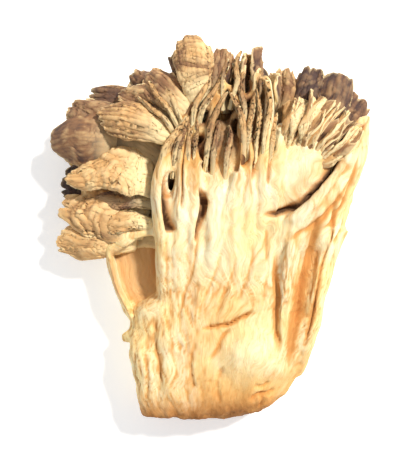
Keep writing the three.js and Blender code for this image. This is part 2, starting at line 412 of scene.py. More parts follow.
@dataclass
class Frond:
    """A frond: a thin sheet that widens from its root, with ribs along it and a wavy rim.

    Attributes:
        spine: Points that the frond's middle runs through, root first.
        widths: Half widths, evenly spaced along the spine.
        face: The way that its upper skin looks at the root.
        tip_face: The same at the rim, or None to keep to face.
        arch: Half angle that its section bends through, below zero for a gutter.
        thick: Thickness at the root and at the rim, in mm.
        round: How far the rim falls back at the sides, as a share of the length.
        lobes: How deep the notches of the rim are, as a share of the length.
        ruffle: Height of the waves at the rim, in mm.
        waves: Number of waves across the rim.
        ribs: Height of the ribs, in mm.
        rib_count: About how many ribs cross its width.
        crumple: Height of the dents that drying has left, in mm.
        zones: Height of the growth zones that run across it, in mm.
        grain: Size of one wrinkle across and along, in mm.
        tone: Colour of the upper skin, from 0 for tan to 1 for dark grey-brown; above 1 it paints the frond
            in shade.
        seed: Chooses its own wrinkles.
        finely: Faces across and along.
    """

    spine: list[Point]
    widths: list[float]
    face: Point = UP
    tip_face: Point | None = None
    arch: float = 0.5
    thick: tuple[float, float] = (1.8, 0.9)
    round: float = 0.28
    lobes: float = 0.1
    ruffle: float = 1.0
    waves: float = 2.5
    ribs: float = 0.3
    rib_count: float = 6
    crumple: float = 0.5
    zones: float = 0.12
    grain: tuple[float, float] = (2.6, 8.0)
    tone: float = 0.5
    seed: int = 1
    finely: tuple[int, int] = (44, 56)

    def middle(self, across: np.ndarray, along: np.ndarray) -> tuple[np.ndarray, np.ndarray, np.ndarray]:
        """The surface halfway through the sheet.

        Args:
            across: Places from -1 to 1 across the sheet.
            along: Places from 0 at the root to 1 at the rim.

        Returns:
            The points, the place along the spine of each, and how deep each lies in a crease.
        """
        # A row of its own in the noise, so that no two fronds share their wrinkles.
        own = np.full_like(across, 7.3 * self.seed)
        t = self.reach(across, along, own)
        tangent = heading(self.spine, t)
        turn = np.clip(t, 0, 1)[:, None]
        facing = np.array(self.face) * (1 - turn) + np.array(self.tip_face or self.face) * turn
        normal = squared(facing, tangent)
        side = np.cross(tangent, normal)
        edge = np.column_stack([3.5 * along, own, np.sign(across)])
        half = spline(self.widths, t) * (1 + 0.12 * noise(edge, 5) * np.abs(across))
        angle = self.arch * across
        length = float(np.linalg.norm(np.diff(np.array(self.spine), axis=0), axis=1).sum())
        sheet = np.column_stack([across * half, t * length, own])
        relief, dent = self.wrinkles(across, sheet)
        wave = noise(np.column_stack([across * self.waves / 2, 1.3 * t, own]), 10)
        flutter = np.abs(across) ** 3 * noise(np.column_stack([np.sign(across), 4 * along, own]), 11)
        rise = (
            half * (np.cos(angle) - 1) / self.arch
            + 1.7 * self.ruffle * np.clip(t, 0, 2) ** 1.6 * (wave + 0.8 * flutter)
            + (relief + 0.9 * self.crumple * dent) * (0.35 + 0.65 * ease(0, 0.5, t))
        )
        shift = drift(sheet / 6, 12, 2) * self.crumple
        points = spline(self.spine, t) + normal * rise[:, None]
        points += side * (half * np.sin(angle) / self.arch + shift[:, 0])[:, None]
        points += tangent * shift[:, 1:]
        crease = np.clip(-1.5 * relief / (self.ribs + self.crumple + 0.1) - 0.15 * dent, -1, 1)
        return points, t, crease

    def reach(self, across: np.ndarray, along: np.ndarray, own: np.ndarray) -> np.ndarray:
        """How far along the spine each place of the sheet lies, with the notches of its rim.

        Args:
            across: Places from -1 to 1 across the sheet.
            along: Places from 0 at the root to 1 at the rim.
            own: The number that sets this frond's pattern apart.

        Returns:
            Places from 0 to below 1: the lobes bunch up towards the spine's end and never pass it.
        """
        notch = np.column_stack([2.2 * across, own, 0 * own])
        cut = self.lobes * (1.2 * noise(notch, 3) + 0.8 * noise(2.7 * notch, 4))
        t = along * (1 - self.round * np.abs(across) ** 2.4 + cut * along)
        knee = 0.95
        spare = 0.05
        return np.where(t > knee, 1 - spare * np.exp((knee - t) / spare), t)

    def wrinkles(self, across: np.ndarray, sheet: np.ndarray) -> tuple[np.ndarray, np.ndarray]:
        """The ribs, folds and growth zones of the sheet, and the wide dents under them.

        Args:
            across: Places from -1 to 1 across the sheet.
            sheet: The same places laid out flat in mm, with the frond's own number.

        Returns:
            The height of the fine relief in mm, and the dents from about -1 to 1.
        """
        own = sheet[:, 2]
        bent = sheet + 2.2 * drift(sheet / 6, 20)
        rib = crests(np.column_stack([across * self.rib_count / 2, 0.06 * bent[:, 1], own]), 2, 6)
        fold = crests(bent / (*self.grain, 1), 2, 13)
        zone = noise(np.column_stack([0.5 * across, bent[:, 1] / 1.6, own]), 9)
        relief = self.ribs * (rib - 0.3) + self.crumple * (0.8 * fold - 0.2) + self.zones * zone
        return relief, noise(bent / 7, 7)

    def build(self) -> bpy.types.Object:
        """Forms the frond from a slab and stores what its skin needs."""
        piece = BLANKS.slab(*self.finely)
        x, y, z = points_of(piece).T
        columns, column = np.unique(x.round(5), return_inverse=True)
        rows, row = np.unique(y.round(5), return_inverse=True)
        across, onward = np.meshgrid(columns, (rows + 1) / 2, indexing="ij")
        sheet, t, crease = self.middle(across.ravel(), onward.ravel())
        sheet = sheet.reshape(*across.shape, 3)
        facing = unit(np.cross(np.gradient(sheet, axis=0), np.gradient(sheet, axis=1)))
        place, normal = sheet[column, row], facing[column, row]
        t, crease = (values.reshape(across.shape)[column, row] for values in (t, crease))
        along = (y + 1) / 2
        layer = 2 * z - 1
        thinned = (1 - 0.5 * np.abs(x) ** 5) * (1 - 0.45 * ease(0.86, 1, along))
        thickness = np.interp(t, (0, 1), self.thick) * thinned
        move_points(piece, place + normal * (layer * thickness / 2)[:, None])
        store(piece, "place", np.column_stack([x, along, z]))
        store(piece, "look", np.column_stack([0 * x + self.tone, 0 * x + self.seed, crease]))
        return piece


@dataclass
class Stroke:
    """A crease or ridge drawn over the upper side of the stem.

    Attributes:
        route: Points that it runs through, x and y only.
        width: Its half width, in mm.
        height: Its height in mm, below zero for a crease.
    """

    route: list[Spot]
    width: float = 0.8
    height: float = -0.7

    def press(self, points: np.ndarray) -> np.ndarray:
        """How much the stroke raises the surface, fading out along both of its ends.

        Args:
            points: Places on the surface, x and y only.

        Returns:
            One height for each place, in mm.
        """
        line = spline(self.route, np.linspace(0, 1, 24))
        margin = 3 * self.width
        near = np.all((points > line.min(0) - margin) & (points < line.max(0) + margin), axis=1)
        lift = np.zeros(len(points))
        spots = points[near]
        best = np.full(len(spots), np.inf)
        fade = np.zeros(len(spots))
        for k in range(len(line) - 1):
            a, span = line[k], line[k + 1] - line[k]
            f = np.clip(((spots - a) @ span) / (span @ span), 0, 1)
            gap = np.linalg.norm(spots - a - f[:, None] * span, axis=1)
            closer = gap < best
            best = np.where(closer, gap, best)
            run = (k + f) / (len(line) - 1)
            fade = np.where(closer, ease(0, 0.2, run) * ease(0, 0.2, 1 - run), fade)
        lift[near] = self.height * np.exp(-((best / self.width) ** 2)) * fade
        return lift


@dataclass
class Stem:
    """The pale fleshy part: trunk, ridges and strands, fused, creased and wrinkled.

    Attributes:
        trunk: Stations of the upper trunk: place, left, right, lowest and highest, in mm.
        belly: Stations of the wide underside that carries the pocket on the left.
        fullness: Power that makes the trunk's section squarer than an ellipse.
        waver: How far the trunk's skin wavers, in mm.
        strand_wander: How far the strands' skin wavers, in mm.
        fineness: Size of the fused mesh's faces, in mm.
        fan: Where the fibres fan out from, x and y.
        groove_depth: How deep the grooves between the fibres are, in mm.
        trough: The orange hollow between the two ridges on the right.
        hollow: Painted shade in the hollow where the right sheet rolls down to its fold.
        corner: The painted shadow that the stem's wall casts into the corner of the pocket.
    """

    trunk: list[Station] = field(
        default_factory=lambda: [
            (-42.2, -16.8, 6, 1.4, 13), (-40, -17.2, 12.6, 0, 14.2), (-37.6, -17.4, 15.6, -1.2, 14.8),
            (-33, -17.8, 18.8, -1.6, 15.4), (-28, -18.8, 21.2, -1.6, 15.8), (-23, -19.6, 22.8, -1.6, 16),
            (-18, -18.4, 23.6, -1.4, 16.2), (-14, -13, 24, -1, 16.4), (-9, -12.8, 24.8, -0.6, 16.8),
            (-4, -13, 26, 0, 17), (1, -13.4, 27, 1, 16.6), (6, -13.4, 27.4, 2.4, 15.2),
            (11, -12.6, 27, 4, 13), (16, -10.6, 26, 5.6, 11),
        ]
    )
    belly: list[Station] = field(
        default_factory=lambda: [
            (-24, -17.6, 16, 1, 8), (-19, -21.2, 18, -0.6, 9.8), (-14, -23.4, 20, -0.8, 9),
            (-9, -25, 22, -0.4, 8.2), (-4, -25.4, 24, 0.4, 8), (1, -21.6, 26, 1.6, 8), (6, -15, 25, 3, 8),
        ]
    )
    fullness: float = 0.78
    waver: float = 0.5
    strand_wander: float = 0.35
    fineness: float = 0.42
    fan: Spot = (0.5, -88.0)
    groove_depth: float = 0.5
    trough: Stroke = field(
        default_factory=lambda: Stroke(
            [(23, 5), (21.4, -2), (20, -8), (18.2, -15), (17.1, -23), (16.6, -33)], 1.7, 0.9
        )
    )
    hollow: Stroke = field(
        default_factory=lambda: Stroke(
            [(9, 3), (13, 4.6), (17, 6.6), (21, 10), (24.6, 15), (29, 20), (33, 24)], 2.4, 1
        )
    )
    corner: Stroke = field(
        default_factory=lambda: Stroke(
            [(-18.6, -1), (-15.6, -2.4), (-13.8, -4.4), (-13.4, -9), (-13.2, -14)], 1.5, 1
        )
    )

    def loft(self, stations: list[Station], seed: int) -> bpy.types.Object:
        """A closed body through level stations, squarer than an ellipse.

        Args:
            stations: Place, left, right, lowest and highest of each section.
            seed: Chooses how its skin wavers.

        Returns:
            The body.
        """
        piece = BLANKS.rod(48, 60)
        x, y, z = points_of(piece).T
        rows = np.array(stations)
        t = z + 0.5
        even = np.linspace(0, 1, len(rows))
        place, left, right, low, high = (np.interp(t, even, column) for column in rows.T)
        side = (np.sign(x) * np.abs(x) ** self.fullness + 1) / 2
        rise = (1 - np.sign(y) * np.abs(y) ** self.fullness) / 2
        points = np.column_stack([left + (right - left) * side, place, low + (high - low) * rise])
        wavy = np.column_stack([rough(points / 5 + k, 2, seed + k) for k in range(3)])
        move_points(piece, points + self.waver * wavy)
        return piece

    def ridges(self) -> list[Strand]:
        """The long swellings of the lower stem, half sunk in the trunk: spine, half widths, half depths."""
        seeds = (2, 3, 4, 5, 6, 7, 8, 9, 12, 10, 11)
        rows = [
            (
                [(-13.6, -41.4, 8.6), (-14.4, -34, 10), (-15.8, -27.6, 10.6), (-17, -23, 10)],
                [3.4, 4, 3.6, 2.4], [3.6, 3.8, 3.6, 2.6],
            ),
            ([(-14.6, -22.6, 8), (-18.2, -23.8, 8.4), (-21.3, -24.6, 8.2)], [3.6, 2.4, 0.8], [4.4, 3, 1]),
            (
                [(-9.4, -41.2, 10), (-9.6, -32, 12), (-10, -24, 12.6), (-11, -17, 12.4)],
                [3.4, 3.6, 3.2, 2.2], [3.4, 3.2, 2.8, 2.2],
            ),
            (
                [(-4, -41.4, 10.6), (-4.2, -32, 12.8), (-3.4, -24, 13), (-1.6, -17, 13)],
                [3.6, 3.6, 3, 2.2], [3.2, 2.8, 2.6, 2.2],
            ),
            (
                [(4.4, -39.6, 9), (6.4, -31, 11.6), (8, -24, 12.2), (9, -19.4, 11.4)], [6, 8.4, 7.6, 5],
                [4, 5, 4.6, 3.4],
            ),
            (
                [
                    (13.4, -34, 7.6), (14.9, -26, 10.4), (15.2, -17, 12.6), (15.6, -8, 14.4),
                    (17.6, 0, 15.6),
                ],
                [2.6, 2.4, 2.2, 2, 1.8], [4.6, 4.6, 4.4, 4, 3],
            ),
            (
                [(18, -32, 5.6), (20, -25, 8.4), (21.8, -16, 10.6), (23.4, -8, 12), (26.4, 2, 13)],
                [2.6, 2.6, 2.2, 2, 1.8], [4.4, 5, 5, 4.4, 3.4],
            ),
            (
                [(20.8, -27, 4.6), (23.2, -16, 7), (25.4, -7, 8.6), (28.4, 0, 9.6)], [2, 2, 2, 1.8],
                [4.4, 5, 5, 4],
            ),
            (
                [
                    (-18.4, -21, 7), (-20.4, -17, 8), (-22.2, -12.4, 8.4), (-23.6, -7.6, 8.4),
                    (-23.4, -4.4, 9), (-20, -2, 10.4),
                ],
                [1, 0.8, 0.8, 0.8, 0.9, 1], [3.4, 3, 3, 3, 2.6, 2.2],
            ),
            ([(-2, -30, 12.6), (1, -21, 13.8), (3.6, -13, 14.4)], [1.6, 1.8, 1.4], [2.6, 2.6, 2.4]),
            ([(-7, -28, 12.6), (-4.6, -20, 13.6), (-2.6, -12, 14.4)], [1.6, 1.8, 1.6], [2.6, 2.6, 2.6]),
        ]
        return [Strand(*row, seed=seed) for row, seed in zip(rows, seeds)]

    def strands(self) -> list[Strand]:
        """The strands that leave the trunk, from left to right, then the small ones around the throat."""
        broad = [
            (
                [
                    (-10.4, -24, 9), (-10.6, -12, 12), (-11, 0, 14.2), (-12.4, 8, 16), (-10.9, 15.6, 17),
                    (-7.2, 22.4, 17.8), (-4.6, 27, 18),
                ],
                [2.6, 2.6, 2.5, 2, 1.3, 1, 0.8], [3, 3.6, 3.4, 2.8, 2, 1.6, 1.4],
            ),
            (
                [(-8, -25, 9), (-8, -11, 12.4), (-7.6, 3, 14.8), (-7, 13, 16.4), (-5.9, 24.6, 17)],
                [2.6, 2.8, 2.5, 1.6, 0.8], [3, 3.6, 3.4, 2.6, 1.8],
            ),
            (
                [(-4.6, -25, 9), (-4.4, -11, 12.4), (-4.5, 3, 14.8), (-4.4, 13, 16.6), (-3.9, 23, 17.6)],
                [2.4, 2.8, 2.3, 1.5, 0.9], [3, 3.6, 3.4, 2.6, 1.8],
            ),
            (
                [(-0.8, -24, 9), (-0.4, -10, 12.6), (-0.2, 4, 15), (0.4, 12.6, 14.8)], [2.6, 3, 3.1, 2.2],
                [3, 3.6, 3.5, 2],
            ),
            (
                [
                    (3.4, -24, 9), (3.6, -10, 12.6), (4, 4, 15), (5.1, 14, 16.6), (5.5, 21.8, 17.6),
                    (4.9, 26.6, 18), (3, 30.4, 17.6),
                ],
                [2.4, 2.7, 2.5, 1.4, 0.8, 0.7, 0.6], [3, 3.6, 3.4, 2.6, 2, 1.6, 1.2],
            ),
            (
                [
                    (6.8, -24, 9), (6.8, -10, 12.4), (7.3, 4, 14.8), (7.4, 15, 16.4), (7.7, 23.4, 17.2),
                    (8.6, 29.4, 17),
                ],
                [2.4, 2.6, 2.4, 1.3, 0.8, 0.6], [3, 3.6, 3.4, 2.4, 1.8, 1.2],
            ),
            (
                [
                    (10.2, -22, 9), (10.2, -8, 12.4), (10.5, 5, 14.8), (10.8, 16, 16.6),
                    (11.7, 25.4, 17.8), (11.2, 31, 18.6), (9.8, 32, 18.4),
                ],
                [2.4, 2.7, 2.6, 1.9, 1.1, 0.9, 0.7], [3, 3.6, 3.4, 2.4, 1.8, 1.2, 0.9],
            ),
            (
                [(13, -20, 9), (13, -7, 12.4), (13.2, 5, 14.8), (13.8, 14, 16.2), (14.4, 22.4, 16)],
                [2.4, 2.6, 2.4, 1.9, 0.8], [3, 3.6, 3.2, 2.4, 1.4],
            ),
        ]
        fine = [
            (
                [(-9.6, 12, 15.6), (-8.8, 18, 16), (-9.4, 24, 16.4), (-12, 29, 16)], [0.9, 0.7, 0.7, 0.6],
                [2.4, 1.6, 1.2, 1],
            ),
            (
                [(-6.2, 12, 16.4), (-6, 19, 17), (-8.6, 25.6, 17.4), (-12.4, 30.4, 17)],
                [0.9, 0.7, 0.7, 0.6], [2, 1.6, 1.2, 1],
            ),
            (
                [(-3, 14, 16.4), (-2.2, 20, 17.4), (-0.4, 25.6, 18), (2.4, 30.6, 17.6)],
                [0.9, 0.8, 0.7, 0.5], [2.4, 2, 1.6, 1.2],
            ),
            (
                [(-5.4, 21, 17.4), (-2, 26.6, 18.2), (1.4, 31, 17.8), (4, 35, 16)], [0.7, 0.7, 0.6, 0.5],
                [1.6, 1.4, 1.1, 0.9],
            ),
            (
                [(5.8, 14, 16.4), (6.2, 21, 17), (5.8, 27, 17.4), (4.6, 33, 17)], [0.7, 0.6, 0.6, 0.5],
                [2, 1.6, 1.2, 1],
            ),
            (
                [(8.8, 10, 16), (9.2, 18, 16.8), (9.2, 25, 17.2), (7.4, 32, 17)], [0.8, 0.7, 0.6, 0.5],
                [2, 1.6, 1.2, 1],
            ),
            (
                [(2.8, 20, 15), (4, 24, 16), (7, 28, 16.8), (9.8, 33, 16)], [0.6, 0.6, 0.6, 0.5],
                [1.6, 1.4, 1.1, 0.9],
            ),
        ]
        seeds = (*range(13, 21), *range(24, 31))
        wander = self.strand_wander
        return [Strand(*row, wander=wander, seed=seed) for row, seed in zip(broad + fine, seeds)]

    def sheets(self) -> list[Frond]:
        """The fleshy sheets that are one with the stem: the right sheet, its folded flap and the paddle."""
        return [
            Frond(
                [(10, -5, 12), (13.6, 4, 15), (17.4, 12, 16.4), (20, 18, 15.6), (21.6, 22, 14)],
                [4, 7, 7.6, 8, 8.4], (-0.25, 0.1, 1), arch=0.6, thick=(4.4, 1.7), round=0.14, lobes=0.12,
                ruffle=0.6, ribs=0.5, rib_count=12, crumple=0.35, seed=41, finely=(80, 90),
            ),
            Frond(
                [
                    (14, -11, 12.4), (18.6, -3.6, 15.4), (23, 3, 17), (27.4, 10, 17.2), (31, 17.6, 16.4),
                    (33.4, 24.6, 14.4),
                ],
                [3, 5.4, 6, 4.8, 3.4, 1.6], (0.35, -0.3, 1), arch=0.6, thick=(3.6, 1.5), round=0.1,
                lobes=0.04, ruffle=0.8, ribs=0.8, rib_count=7, crumple=0.3, seed=42, finely=(70, 90),
            ),
            Frond(
                [(24, -6, 9), (27.4, 1, 11), (29.4, 9, 12), (31.6, 18, 12)], [3.4, 4.6, 4.4, 3],
                (0.9, -0.3, 0.5), arch=0.5, thick=(3, 1.5), round=0.15, lobes=0.1, ruffle=0.9, ribs=0.7,
                rib_count=6, crumple=0.3, seed=43, finely=(60, 80),
            ),
            Frond(
                [(-13, -0.6, 13), (-17.4, -1, 12.6), (-21, -2.6, 11.6), (-25, -5, 9.8)],
                [1.4, 1.8, 2, 1.6], (0, 0.35, 1), arch=0.5, thick=(1.8, 1.4), round=0.15, lobes=0.1,
                ruffle=0.5, ribs=0.3, rib_count=4, crumple=0.4, seed=44,
            ),
            Frond(
                [(0.4, 6, 14.8), (0.8, 12, 16), (1.1, 18, 16.4), (0.9, 23.4, 14.8)],
                [1.8, 3.1, 3.6, 2.8], UP, arch=0.7, thick=(2.4, 1.5), round=0.2, lobes=0.03, ruffle=0.2,
                ribs=0.4, rib_count=8, crumple=0.2, seed=45,
            ),
            Frond(
                [(4, 0, 9), (6, 12, 8.4), (7, 24, 9.6), (7, 32, 11)], [16, 15, 13, 10], UP, arch=0.2,
                thick=(4, 2.4), round=0.2, lobes=0.05, ruffle=0.6, ribs=0.5, rib_count=12, crumple=0.5,
                seed=46, finely=(70, 60),
            ),
        ]

    def strokes(self) -> list[Stroke]:
        """The creases and ridges of the upper side: route, half width, height."""
        rows = [
            ([(9.4, -18.2), (6, -19.4), (2.6, -21.2), (-0.6, -21.6), (-3.4, -22.4)], 0.45, -0.9),
            ([(3.6, -21.6), (1.4, -24), (0.4, -26.4), (-2, -29.6)], 0.45, -0.8),
            ([(13.2, -4), (12.9, -10), (13.4, -15), (13.1, -21), (14.4, -28)], 0.5, -0.9),
            (
                [(22.6, 3.6), (21.6, -1), (21, -6), (19.4, -12), (18.2, -19), (16.8, -26), (16.2, -33)],
                0.9, -1.2,
            ),
            ([(20.4, -8), (18.8, -15), (18.2, -22), (16.8, -29)], 0.4, -0.8),
            ([(-13.2, -19.6), (-13.6, -24), (-12.6, -30), (-12.2, -36)], 0.35, -0.5),
            ([(-7, -21), (-6.2, -27), (-7, -33)], 0.3, -0.35),
            ([(-11, 0), (-10.6, -6), (-10.9, -12), (-10.2, -19), (-10.8, -25)], 0.3, -0.4),
            ([(-3.2, -1), (-4.2, -5), (-5.2, -10), (-7.4, -16), (-8, -22)], 0.3, -0.45),
            ([(1.8, -3), (0.6, -8), (-1, -12), (-3, -17), (-3.8, -22)], 0.3, -0.5),
            ([(4.8, -6), (3.4, -11), (1.6, -15), (-0.4, -20)], 0.3, -0.45),
            ([(8.4, -3), (7.8, -8), (6.2, -13), (4.2, -17.4)], 0.3, -0.4),
            ([(11.4, 2), (11, -4), (11.5, -9), (10.6, -15)], 0.3, -0.4),
            ([(24.8, -2), (23.4, -8), (22.2, -14), (20.6, -22), (19.6, -27)], 0.5, -1),
            ([(26.4, 5), (25.6, 0), (24.8, -4)], 0.5, -0.8),
            ([(13.4, -35.4), (11.6, -36.4), (9.4, -36.6), (7.4, -38.4)], 0.45, -1),
            ([(12, -33.6), (10.4, -34.8), (8.4, -34.4)], 0.35, -0.6),
            ([(9.8, -36.4), (10.6, -38), (9.6, -40)], 0.35, -0.7),
            ([(1.6, -30), (0.4, -34), (1, -39)], 0.4, -0.5),
            ([(-4.4, -25), (-5.6, -30), (-4.6, -36)], 0.4, -0.6),
            ([(-15.6, -27), (-15, -33), (-15.6, -39)], 0.4, -0.5),
            ([(13.4, 0.8), (18.2, 2.4), (23.4, 7), (27.6, 13), (32, 18.6)], 0.9, 0.8),
            ([(15, -3), (19.6, -0.6), (24.8, 3.4), (29, 10)], 0.45, -0.8),
            ([(19, -1.6), (24, 2), (28.4, 8), (32, 17)], 0.35, -0.7),
            ([(22.6, -2), (26.4, 2.4), (29.6, 9), (31.4, 14)], 0.3, -0.7),
            ([(21, 3.6), (25.6, 8.6), (29.4, 14.6), (33, 21)], 0.3, -0.6),
            ([(25, 0), (28.4, 3.6), (30.4, 7.6)], 0.3, -0.6),
            ([(25.6, -4), (28, -0.6), (29.6, 1)], 0.3, -0.5),
        ]
        return [Stroke(*row) for row in rows]

    def slits(self) -> list[Stroke]:
        """The deep gaps between the strands, and the fold between the right sheet and its flap; their dark
        colour is painted shade.
        """
        rows = [
            ([(-9.9, 12), (-10.6, 8), (-10.7, 4), (-10.1, 0.4), (-9.6, -1.6)], 0.62, -3),
            ([(-6.6, 19), (-7.4, 13), (-7.2, 7), (-7.6, 3)], 0.3, -1.2),
            ([(-3.4, 20.8), (-2.9, 17), (-2, 14), (-0.6, 11.4)], 0.62, -3),
            ([(-3, 10), (-2.6, 5), (-3.2, 1.6), (-3.9, -1.4), (-4.3, -4)], 0.42, -2),
            ([(2.6, 19), (2.2, 15), (2.4, 12)], 0.3, -1.2),
            ([(4.6, 20.4), (4.9, 17), (4.5, 13.4), (3.8, 11.6)], 0.5, -2.6),
            ([(7.4, 25), (7.7, 22), (7, 19.4), (6.5, 15), (5.8, 12.4)], 0.55, -2.6),
            ([(9.4, 22), (9.2, 17), (8.6, 13), (8.2, 9)], 0.3, -1.4),
            ([(12.6, 22), (12.4, 17), (11.6, 12), (11.4, 8)], 0.32, -1.2),
            (
                [
                    (9, 2.6), (13, 2.8), (17.4, 4.8), (20.6, 7.6), (23.4, 10.8), (26, 14.8), (29, 18.2),
                    (32, 21), (35, 24),
                ],
                0.6, -2.8,
            ),
            ([(21, 8), (24.4, 11.6), (27.4, 15.6), (30.6, 19.6), (33, 22)], 0.5, -1.8),
            ([(9.4, -18.2), (6, -19.4), (2.6, -21.2), (-0.6, -21.6), (-3.4, -22.4)], 0.22, -0.7),
        ]
        return [Stroke(*row) for row in rows]

    def build(self) -> bpy.types.Object:
        """Fuses the parts of the stem and gives them their creases and fibres."""
        parts = [self.loft(self.trunk, 21), self.loft(self.belly, 22)]
        parts += [strand.build() for strand in self.ridges() + self.strands()]
        parts += [sheet.build() for sheet in self.sheets()]
        stem = joined(parts, "stem")
        for name in ("place", "look"):
            stem.data.attributes.remove(stem.data.attributes[name])
        finished(stem, "REMESH", mode="VOXEL", voxel_size=self.fineness, adaptivity=0)
        finished(stem, "SMOOTH", factor=0.5, iterations=5)
        self.wrinkle(stem)
        return stem

    def flow(self, points: np.ndarray) -> np.ndarray:
        """Where each point lies among the fibres, which fan out upward and bend a little.

        Args:
            points: Places on the stem, in mm.

        Returns:
            One row for each place: across the fibres, along them and up, in widths of a fibre.
        """
        _, y, z = points.T
        away = points[:, :2] - np.array(self.fan)
        turn = np.arctan2(away[:, 0], away[:, 1])
        reach = np.linalg.norm(away, axis=1)
        bend = 0.035 * noise(points / 9, 51) + 0.012 * noise(points / 3.5, 52)
        lean = turn + bend - 0.0016 * ease(-4, -30, y) * (reach - 60)
        flow = np.column_stack([62 * lean, reach / 24, 0.8 * z])
        flow[:, 0] += 0.35 * noise(points / 6, 57) + 0.1 * noise(points / 1.6, 58)
        return flow

    def calm(self, x: np.ndarray, y: np.ndarray) -> np.ndarray:
        """How far the fibres stand out: 1 in most places, and less on three smooth swellings.

        Args:
            x: Places from left to right, in mm.
            y: Places from foot to crown, in mm.

        Returns:
            One number for each place.
        """
        bulge = np.exp(-((x - 7) ** 2 + (y + 28) ** 2) / 70)
        middle = np.exp(-(((x - 1) / 9) ** 2) - ((y + 1) / 9) ** 2)
        sheet = np.exp(-(((x - 17) / 6) ** 2) - ((y - 14) / 6) ** 2)
        return (1 - 0.8 * bulge) * (1 - 0.6 * middle) * (1 - 0.6 * sheet)

    def pocket(self, points: np.ndarray) -> np.ndarray:
        """Where the floor of the pocket on the left is.

        Args:
            points: Places on the stem, in mm.

        Returns:
            For each place, from 0 outside the pocket to 1 on its floor.
        """
        x, y, z = points.T
        floor = ease(-13, -13.8, x) * ease(-19, -15.6, y + 0.3 * (x + 16))
        floor *= ease(0.5, -2.2, y) * ease(12.6, 11, z)
        return floor * ease(-24.4, -22.8, x + 0.35 * np.clip(-9 - y, 0, 9))

    def wrinkle(self, stem: bpy.types.Object) -> None:
        """Presses creases and fibres into the fused stem and stores where they are, and where shade is
        painted on it.

        Args:
            stem: The fused stem, in mm.
        """
        points = points_of(stem)
        normal = points_of(stem, "normal")
        x, y, _ = points.T
        above = points[:, :2]
        upper = ease(0.0, 0.45, normal[:, 2])
        drawn = sum(stroke.press(above) for stroke in self.strokes())
        deep = sum(slit.press(above) for slit in self.slits()) * upper
        flow = self.flow(points)
        calm = self.calm(x, y)
        long = crests(flow * (0.62, 1.3, 0.5), 2, 54)
        short = crests(flow * (1.15, 4.2, 1), 2, 59)
        thin = ease(1, 20, y) * ease(14.5, 9, x) * ease(-16, -13, x)
        low = ease(-2, -14, y)
        groove = calm * ((0.6 + 0.3 * thin - 0.3 * low) * long + 0.55 * low * short) * (0.3 + 0.7 * upper)
        lift = 0.3 * calm * noise(flow * (0.3, 0.8, 0.3), 53) - self.groove_depth * groove
        lift += 0.08 * rough(points / 2.2, 3, 55) + upper * drawn + deep
        foot = ease(-33, -41.6, y + 0.12 * np.abs(x - 5))
        lift += foot * 0.35 * rough(points / 1.6, 3, 56)
        move_points(stem, points + normal * lift[:, None])
        crease = np.clip(1.35 * groove + np.clip(-upper * drawn / 1.1, 0, 1), 0, 1)
        # The pocket's floor, painted tan: partly its own colour, partly the shade it lies in.
        floor = self.pocket(points) * upper
        trough = self.trough.press(above) * upper
        # Painted shade in the hollow where the right sheet rolls down to its fold.
        shade = 0.6 * self.hollow.press(above) * upper
        # Painted shadow that the stem's wall casts into the corner of the pocket.
        corner = 0.5 * floor * self.corner.press(above)
        # Painted shade over the lower stem and towards its base, with a tan patch in its middle.
        tan_patch_and_shade = 0.8 * np.exp(-(((x + 2) / 7) ** 2) - ((y + 19) / 14) ** 2) + 0.9 * ease(-27, -40, y - 0.3 * x)
        patchy = 1 + 0.6 * noise(flow * (0.3, 1.2, 0.3), 60)
        tan_and_shade = np.maximum.reduce([trough, shade, tan_patch_and_shade * patchy])
        # The tint: the pocket floor; the trough with the painted shade of the fold's hollow and the lower
        # stem; the pocket's painted shadow with the slits.
        store(stem, "tint", np.column_stack([floor, tan_and_shade, np.clip(corner - 0.6 * deep, 0, 1)]))
        store(stem, "flow", flow)
        store(stem, "look", np.column_stack([crease, thin, foot]))


# ---------------------------------------------------------------------------------------------------------
# The fronds
# ---------------------------------------------------------------------------------------------------------


@dataclass
class FrondGroup:
    """A stack of fronds that is kept as one piece.

    Attributes:
        name: The piece's name.
    """

    name: str = "fronds"

    def fronds(self) -> Iterable[Frond]:
        """The fronds of this stack."""
        raise NotImplementedError

    def build(self) -> bpy.types.Object:
        """Forms every frond and joins them."""
        return joined([frond.build() for frond in self.fronds()], self.name)


